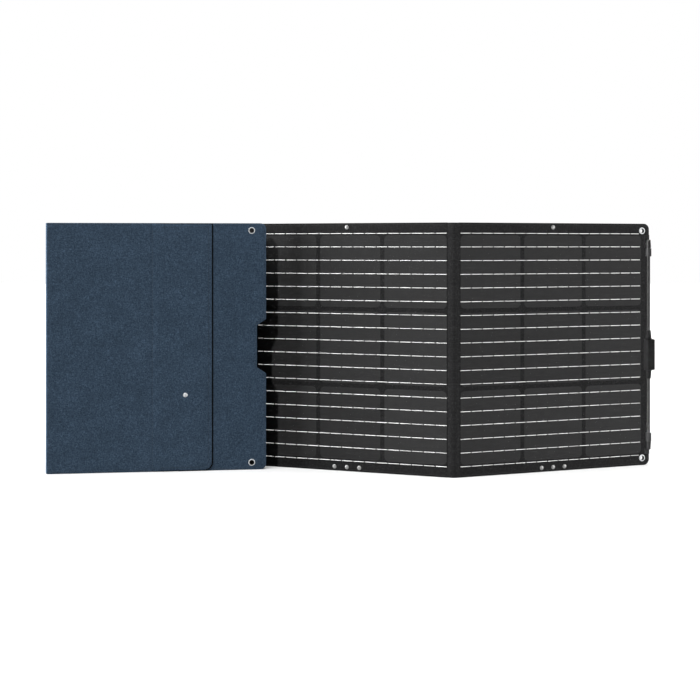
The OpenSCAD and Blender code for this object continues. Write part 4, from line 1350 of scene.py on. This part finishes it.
class CASE_OT_handle(bpy.types.Operator):
    """Carrying handle: anchors, cable, collars and a soft grip"""

    bl_idname = "solar_case.handle"
    bl_label = "Handle"

    def execute(self, context):
        make_finishes(context.scene)
        # The anchors and collars take lightened copies of the plastic, painted light
        repaint("anchor", "handle_anchors")
        repaint("collar", "handle_collars")
        repaint("plastic", "anchor_rivets")
        repaint("cable", "handle_cable")
        low, high = (corner.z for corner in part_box("handle_grip"))
        settle(self.grip(low, high), "grip", "grip_rubber", "handle_grip")
        return {"FINISHED"}

    def grip(self, low, high):
        """Round necks that step out to a squarish body: x = wide * |cos a|^p, y = deep * |sin a|^p with their
        signs, where p = 2 / (2 + 6 * body) and body goes from 0 on the necks to 1."""
        spans = ((low, 0.2115, 8), (GRIP_LOW, 0.215, 7), (0.216, 0.280, 33), (0.281, GRIP_HIGH, 7),
                 (0.2845, high, 8))
        z = np.concatenate([np.linspace(*span) for span in spans])
        body = smooth_step((z - GRIP_LOW) / GRIP_STEP) * smooth_step((GRIP_HIGH - z) / GRIP_STEP)
        taper = np.clip(np.minimum(z - low, high - z) / NECK_TAPER, 0, 1)
        neck = (1 - body) * (NECK_THIN + NECK_MORE * taper)
        wide = neck + body * GRIP_WIDE / 2
        deep = neck + body * (GRIP_BEHIND + GRIP_BEFORE) / 2
        forward = body * (GRIP_BEFORE - GRIP_BEHIND) / 2
        circle = circle_loop((0, 0), 1.0, 48)
        power = (2 / (2 + GRIP_SQUARE * body))[:, None, None]
        skin = np.stack((wide, deep), -1)[:, None] * np.sign(circle) * np.abs(circle) ** power
        skin[..., 1] -= forward[:, None]
        section = np.concatenate((skin, [GRIP_BORE * circle] * 2)) + CABLE
        rows, sides = section.shape[:2]
        level = np.repeat(np.concatenate((z, [high, low])), sides)
        points = np.column_stack((section.reshape(-1, 2), level))
        first, last = np.arange(sides), np.arange(sides) + (rows - 1) * sides
        closing = np.stack((last, first, np.roll(first, -1), np.roll(last, -1)), 1)
        faces = np.concatenate((loop_faces(rows, sides), closing))
        return mesh_object("soft_grip", to_row(4, points), [(faces, points[:, (0, 2)])], FINISHES["grip"],
                           recalculate=True)


# Stitch rows: distance from a panel's edge, and the room left round studs, eyelets, hems, folds and the flap
STITCH_INSET, STUD_ROOM, RING_ROOM = 0.0042, 0.0075, 0.0095
HEM_ROOM, FOLD_ROOM = (0.525, 0.078), 0.0055
FLAP_ROOM = (FLAP_FREE - 0.006, FLAP_FOLD + 0.010)

# Upright rows on the pocket: place, level and distance from the top and bottom edges
POCKET_ROWS = ((MOUTH_NEAR + 0.0035, SHEET, 0.012), (MOUTH_FAR - 0.0035, SHEET, 0.012),
               (FLAP_FOLD + 0.0055, SHEET + 0.00087, 0.006))

# Row on the flap: distance from its edge, its end at the fold, the end of its stitches, its corners
FLAP_ROW, FLAP_ROW_END, FLAP_ROW_STOP = 0.007, FLAP_FOLD - 0.006, FLAP_FOLD - 0.0075
FLAP_ROW_CORNERS = (0.011, 0.001, 0.001, 0.002)

# Rows on a kickstand from its middle: the border's right half from the foot up, and the two on its hem
KICK_BORDER = ((0.037, 0.0085), (0.0427, 0.016), (0.0672, 0.492))
HEM_ROWS, HEM_ROW_HALF, HEM_ROW_LEVEL = (0.5335, 0.5275), 0.070, 0.0045


class CASE_OT_stitching(bpy.types.Operator):
    """Rows of thread along the cloth's edges"""

    bl_idname = "solar_case.stitching"
    bl_label = "Stitching"

    def execute(self, context):
        make_finishes(context.scene)
        cloth = context.scene.case_cloth
        for panel in WIDTH:
            edge = panel_outline(panel, 0.004)
            runs = self.free_part(panel, edge - STITCH_INSET * outward(edge))
            skip = [(x, z, STUD_ROOM) for x, z in studs(panel)]
            skip += [(x, z, RING_ROOM) for x, z in eyelets(panel)]
            rows = [stitch_row(panel, run, CLOTH_FACE, -1.0, cloth.stitch_pitch, skip) for run in runs]
            self.sewn(f"front_stitching_{panel}", rows, "black", cloth, BODY[panel])
            if panel in STUD_X:
                skip.append((STUD_X[panel], *HEM_ROOM))
            level = SHEET if panel == 1 else BACK
            rows = [stitch_row(panel, run, level, 1.0, cloth.stitch_pitch, skip) for run in runs]
            if panel == 1:
                rows = [self.clear_of_flap(row) for row in rows] + self.pocket_rows(cloth)
            self.sewn(f"back_stitching_{panel}", rows, "blue", cloth, BODY[panel])
        self.sewn("flap_stitching", [self.flap_row(cloth)], "blue", cloth, "flap")
        for panel, x in STUD_X.items():
            left = [(x - across, z) for across, z in reversed(KICK_BORDER)]
            border = np.array(left + [(x + across, z) for across, z in KICK_BORDER])
            row = stitch_row(panel, divided(border, 0.004, False), KICK_OUT, 1.0, cloth.stitch_pitch)
            self.sewn(f"kick_stitching_{panel}", [row], "blue", cloth, f"kick_{panel}")
            rows = [stitch_row(panel, [(x - HEM_ROW_HALF, z), (x + HEM_ROW_HALF, z)], HEM_ROW_LEVEL, 1.0,
                               cloth.stitch_pitch) for z in HEM_ROWS]
            self.sewn(f"hem_stitching_{panel}", rows, "blue", cloth, BODY[panel])
        return {"FINISHED"}

    def sewn(self, name, rows, colour, cloth, body):
        """Rows of stitches as one piece that rides on a body."""
        piece = stitches(name, rows, FINISHES[f"{colour}_thread"], cloth.stitch_length, cloth.thread_radius)
        settle(piece, body, f"{colour}_fabric")

    def free_part(self, panel, path):
        """Runs of an edge path that aren't on a fold side."""
        keep = np.ones(len(path), bool)
        if panel != 1:
            keep &= path[:, 0] > FOLD_ROOM
        if panel != 4:
            keep &= path[:, 0] < WIDTH[panel] - FOLD_ROOM
        shift = int(np.argmin(keep))
        keep, path = np.roll(keep, -shift), np.roll(path, -shift, 0)
        cuts = np.flatnonzero(np.diff(keep.astype(int))) + 1
        parts = zip(np.split(path, cuts), np.split(keep, cuts))
        return [part for part, on in parts if on[0] and len(part) > 2]

    def clear_of_flap(self, row):
        """The row without the stitches that the flap covers."""
        spot = (row[0][:, :2] - ORIGIN[1]) @ ALONG[1]
        keep = (spot < FLAP_ROOM[0]) | (spot > FLAP_ROOM[1])
        return tuple(part[keep] for part in row)

    def pocket_rows(self, cloth):
        """Upright rows beside the pocket's mouth and along the flap's fold."""
        return [stitch_row(1, [(x, end), (x, HEIGHT - end)], level, 1.0, cloth.stitch_pitch)
                for x, level, end in POCKET_ROWS]

    def flap_row(self, cloth):
        """One row inside the flap's bound edge."""
        low = FLAP_INSET + FLAP_ROW
        corners = rectangle(FLAP_FREE + FLAP_ROW, low, FLAP_ROW_END, HEIGHT - low)
        edge = rounded_loop(corners, FLAP_ROW_CORNERS, 0.004)
        path = edge[edge[:, 0] < FLAP_ROW_STOP]
        return stitch_row(1, path[flap_order(path)], FLAP_OUT, 1.0, cloth.stitch_pitch)


class CASE_PT_panel(bpy.types.Panel):
    """Buttons for the pieces of the solar case"""

    bl_idname = "CASE_PT_panel"
    bl_label = "Solar case"
    bl_space_type = "VIEW_3D"
    bl_region_type = "UI"
    bl_category = "Solar case"

    def draw(self, context):
        for operator in OPERATORS:
            self.layout.operator(operator.bl_idname)


SETTINGS = {"case_cloth": CASE_PG_cloth, "case_cells": CASE_PG_cells, "case_fittings": CASE_PG_fittings,
            "case_studio": CASE_PG_studio}
OPERATORS = (CASE_OT_panel_cloth, CASE_OT_cells, CASE_OT_folds, CASE_OT_pocket, CASE_OT_flap,
             CASE_OT_kickstands, CASE_OT_fittings, CASE_OT_handle, CASE_OT_stitching, CASE_OT_studio)
CLASSES = (*SETTINGS.values(), *OPERATORS, CASE_PT_panel)


def register():
    for cls in CLASSES:
        bpy.utils.register_class(cls)
    for name, group in SETTINGS.items():
        setattr(bpy.types.Scene, name, PointerProperty(type=group))


def unregister():
    for name in SETTINGS:
        delattr(bpy.types.Scene, name)
    for cls in reversed(CLASSES):
        bpy.utils.unregister_class(cls)


def main():
    register()
    bpy.ops.solar_case.panel_cloth()
    bpy.ops.solar_case.cells()
    bpy.ops.solar_case.folds()
    bpy.ops.solar_case.pocket()
    bpy.ops.solar_case.flap()
    bpy.ops.solar_case.kickstands()
    bpy.ops.solar_case.fittings()
    bpy.ops.solar_case.handle()
    bpy.ops.solar_case.stitching()
    bpy.ops.solar_case.studio()


if __name__ == "__main__":
    main()
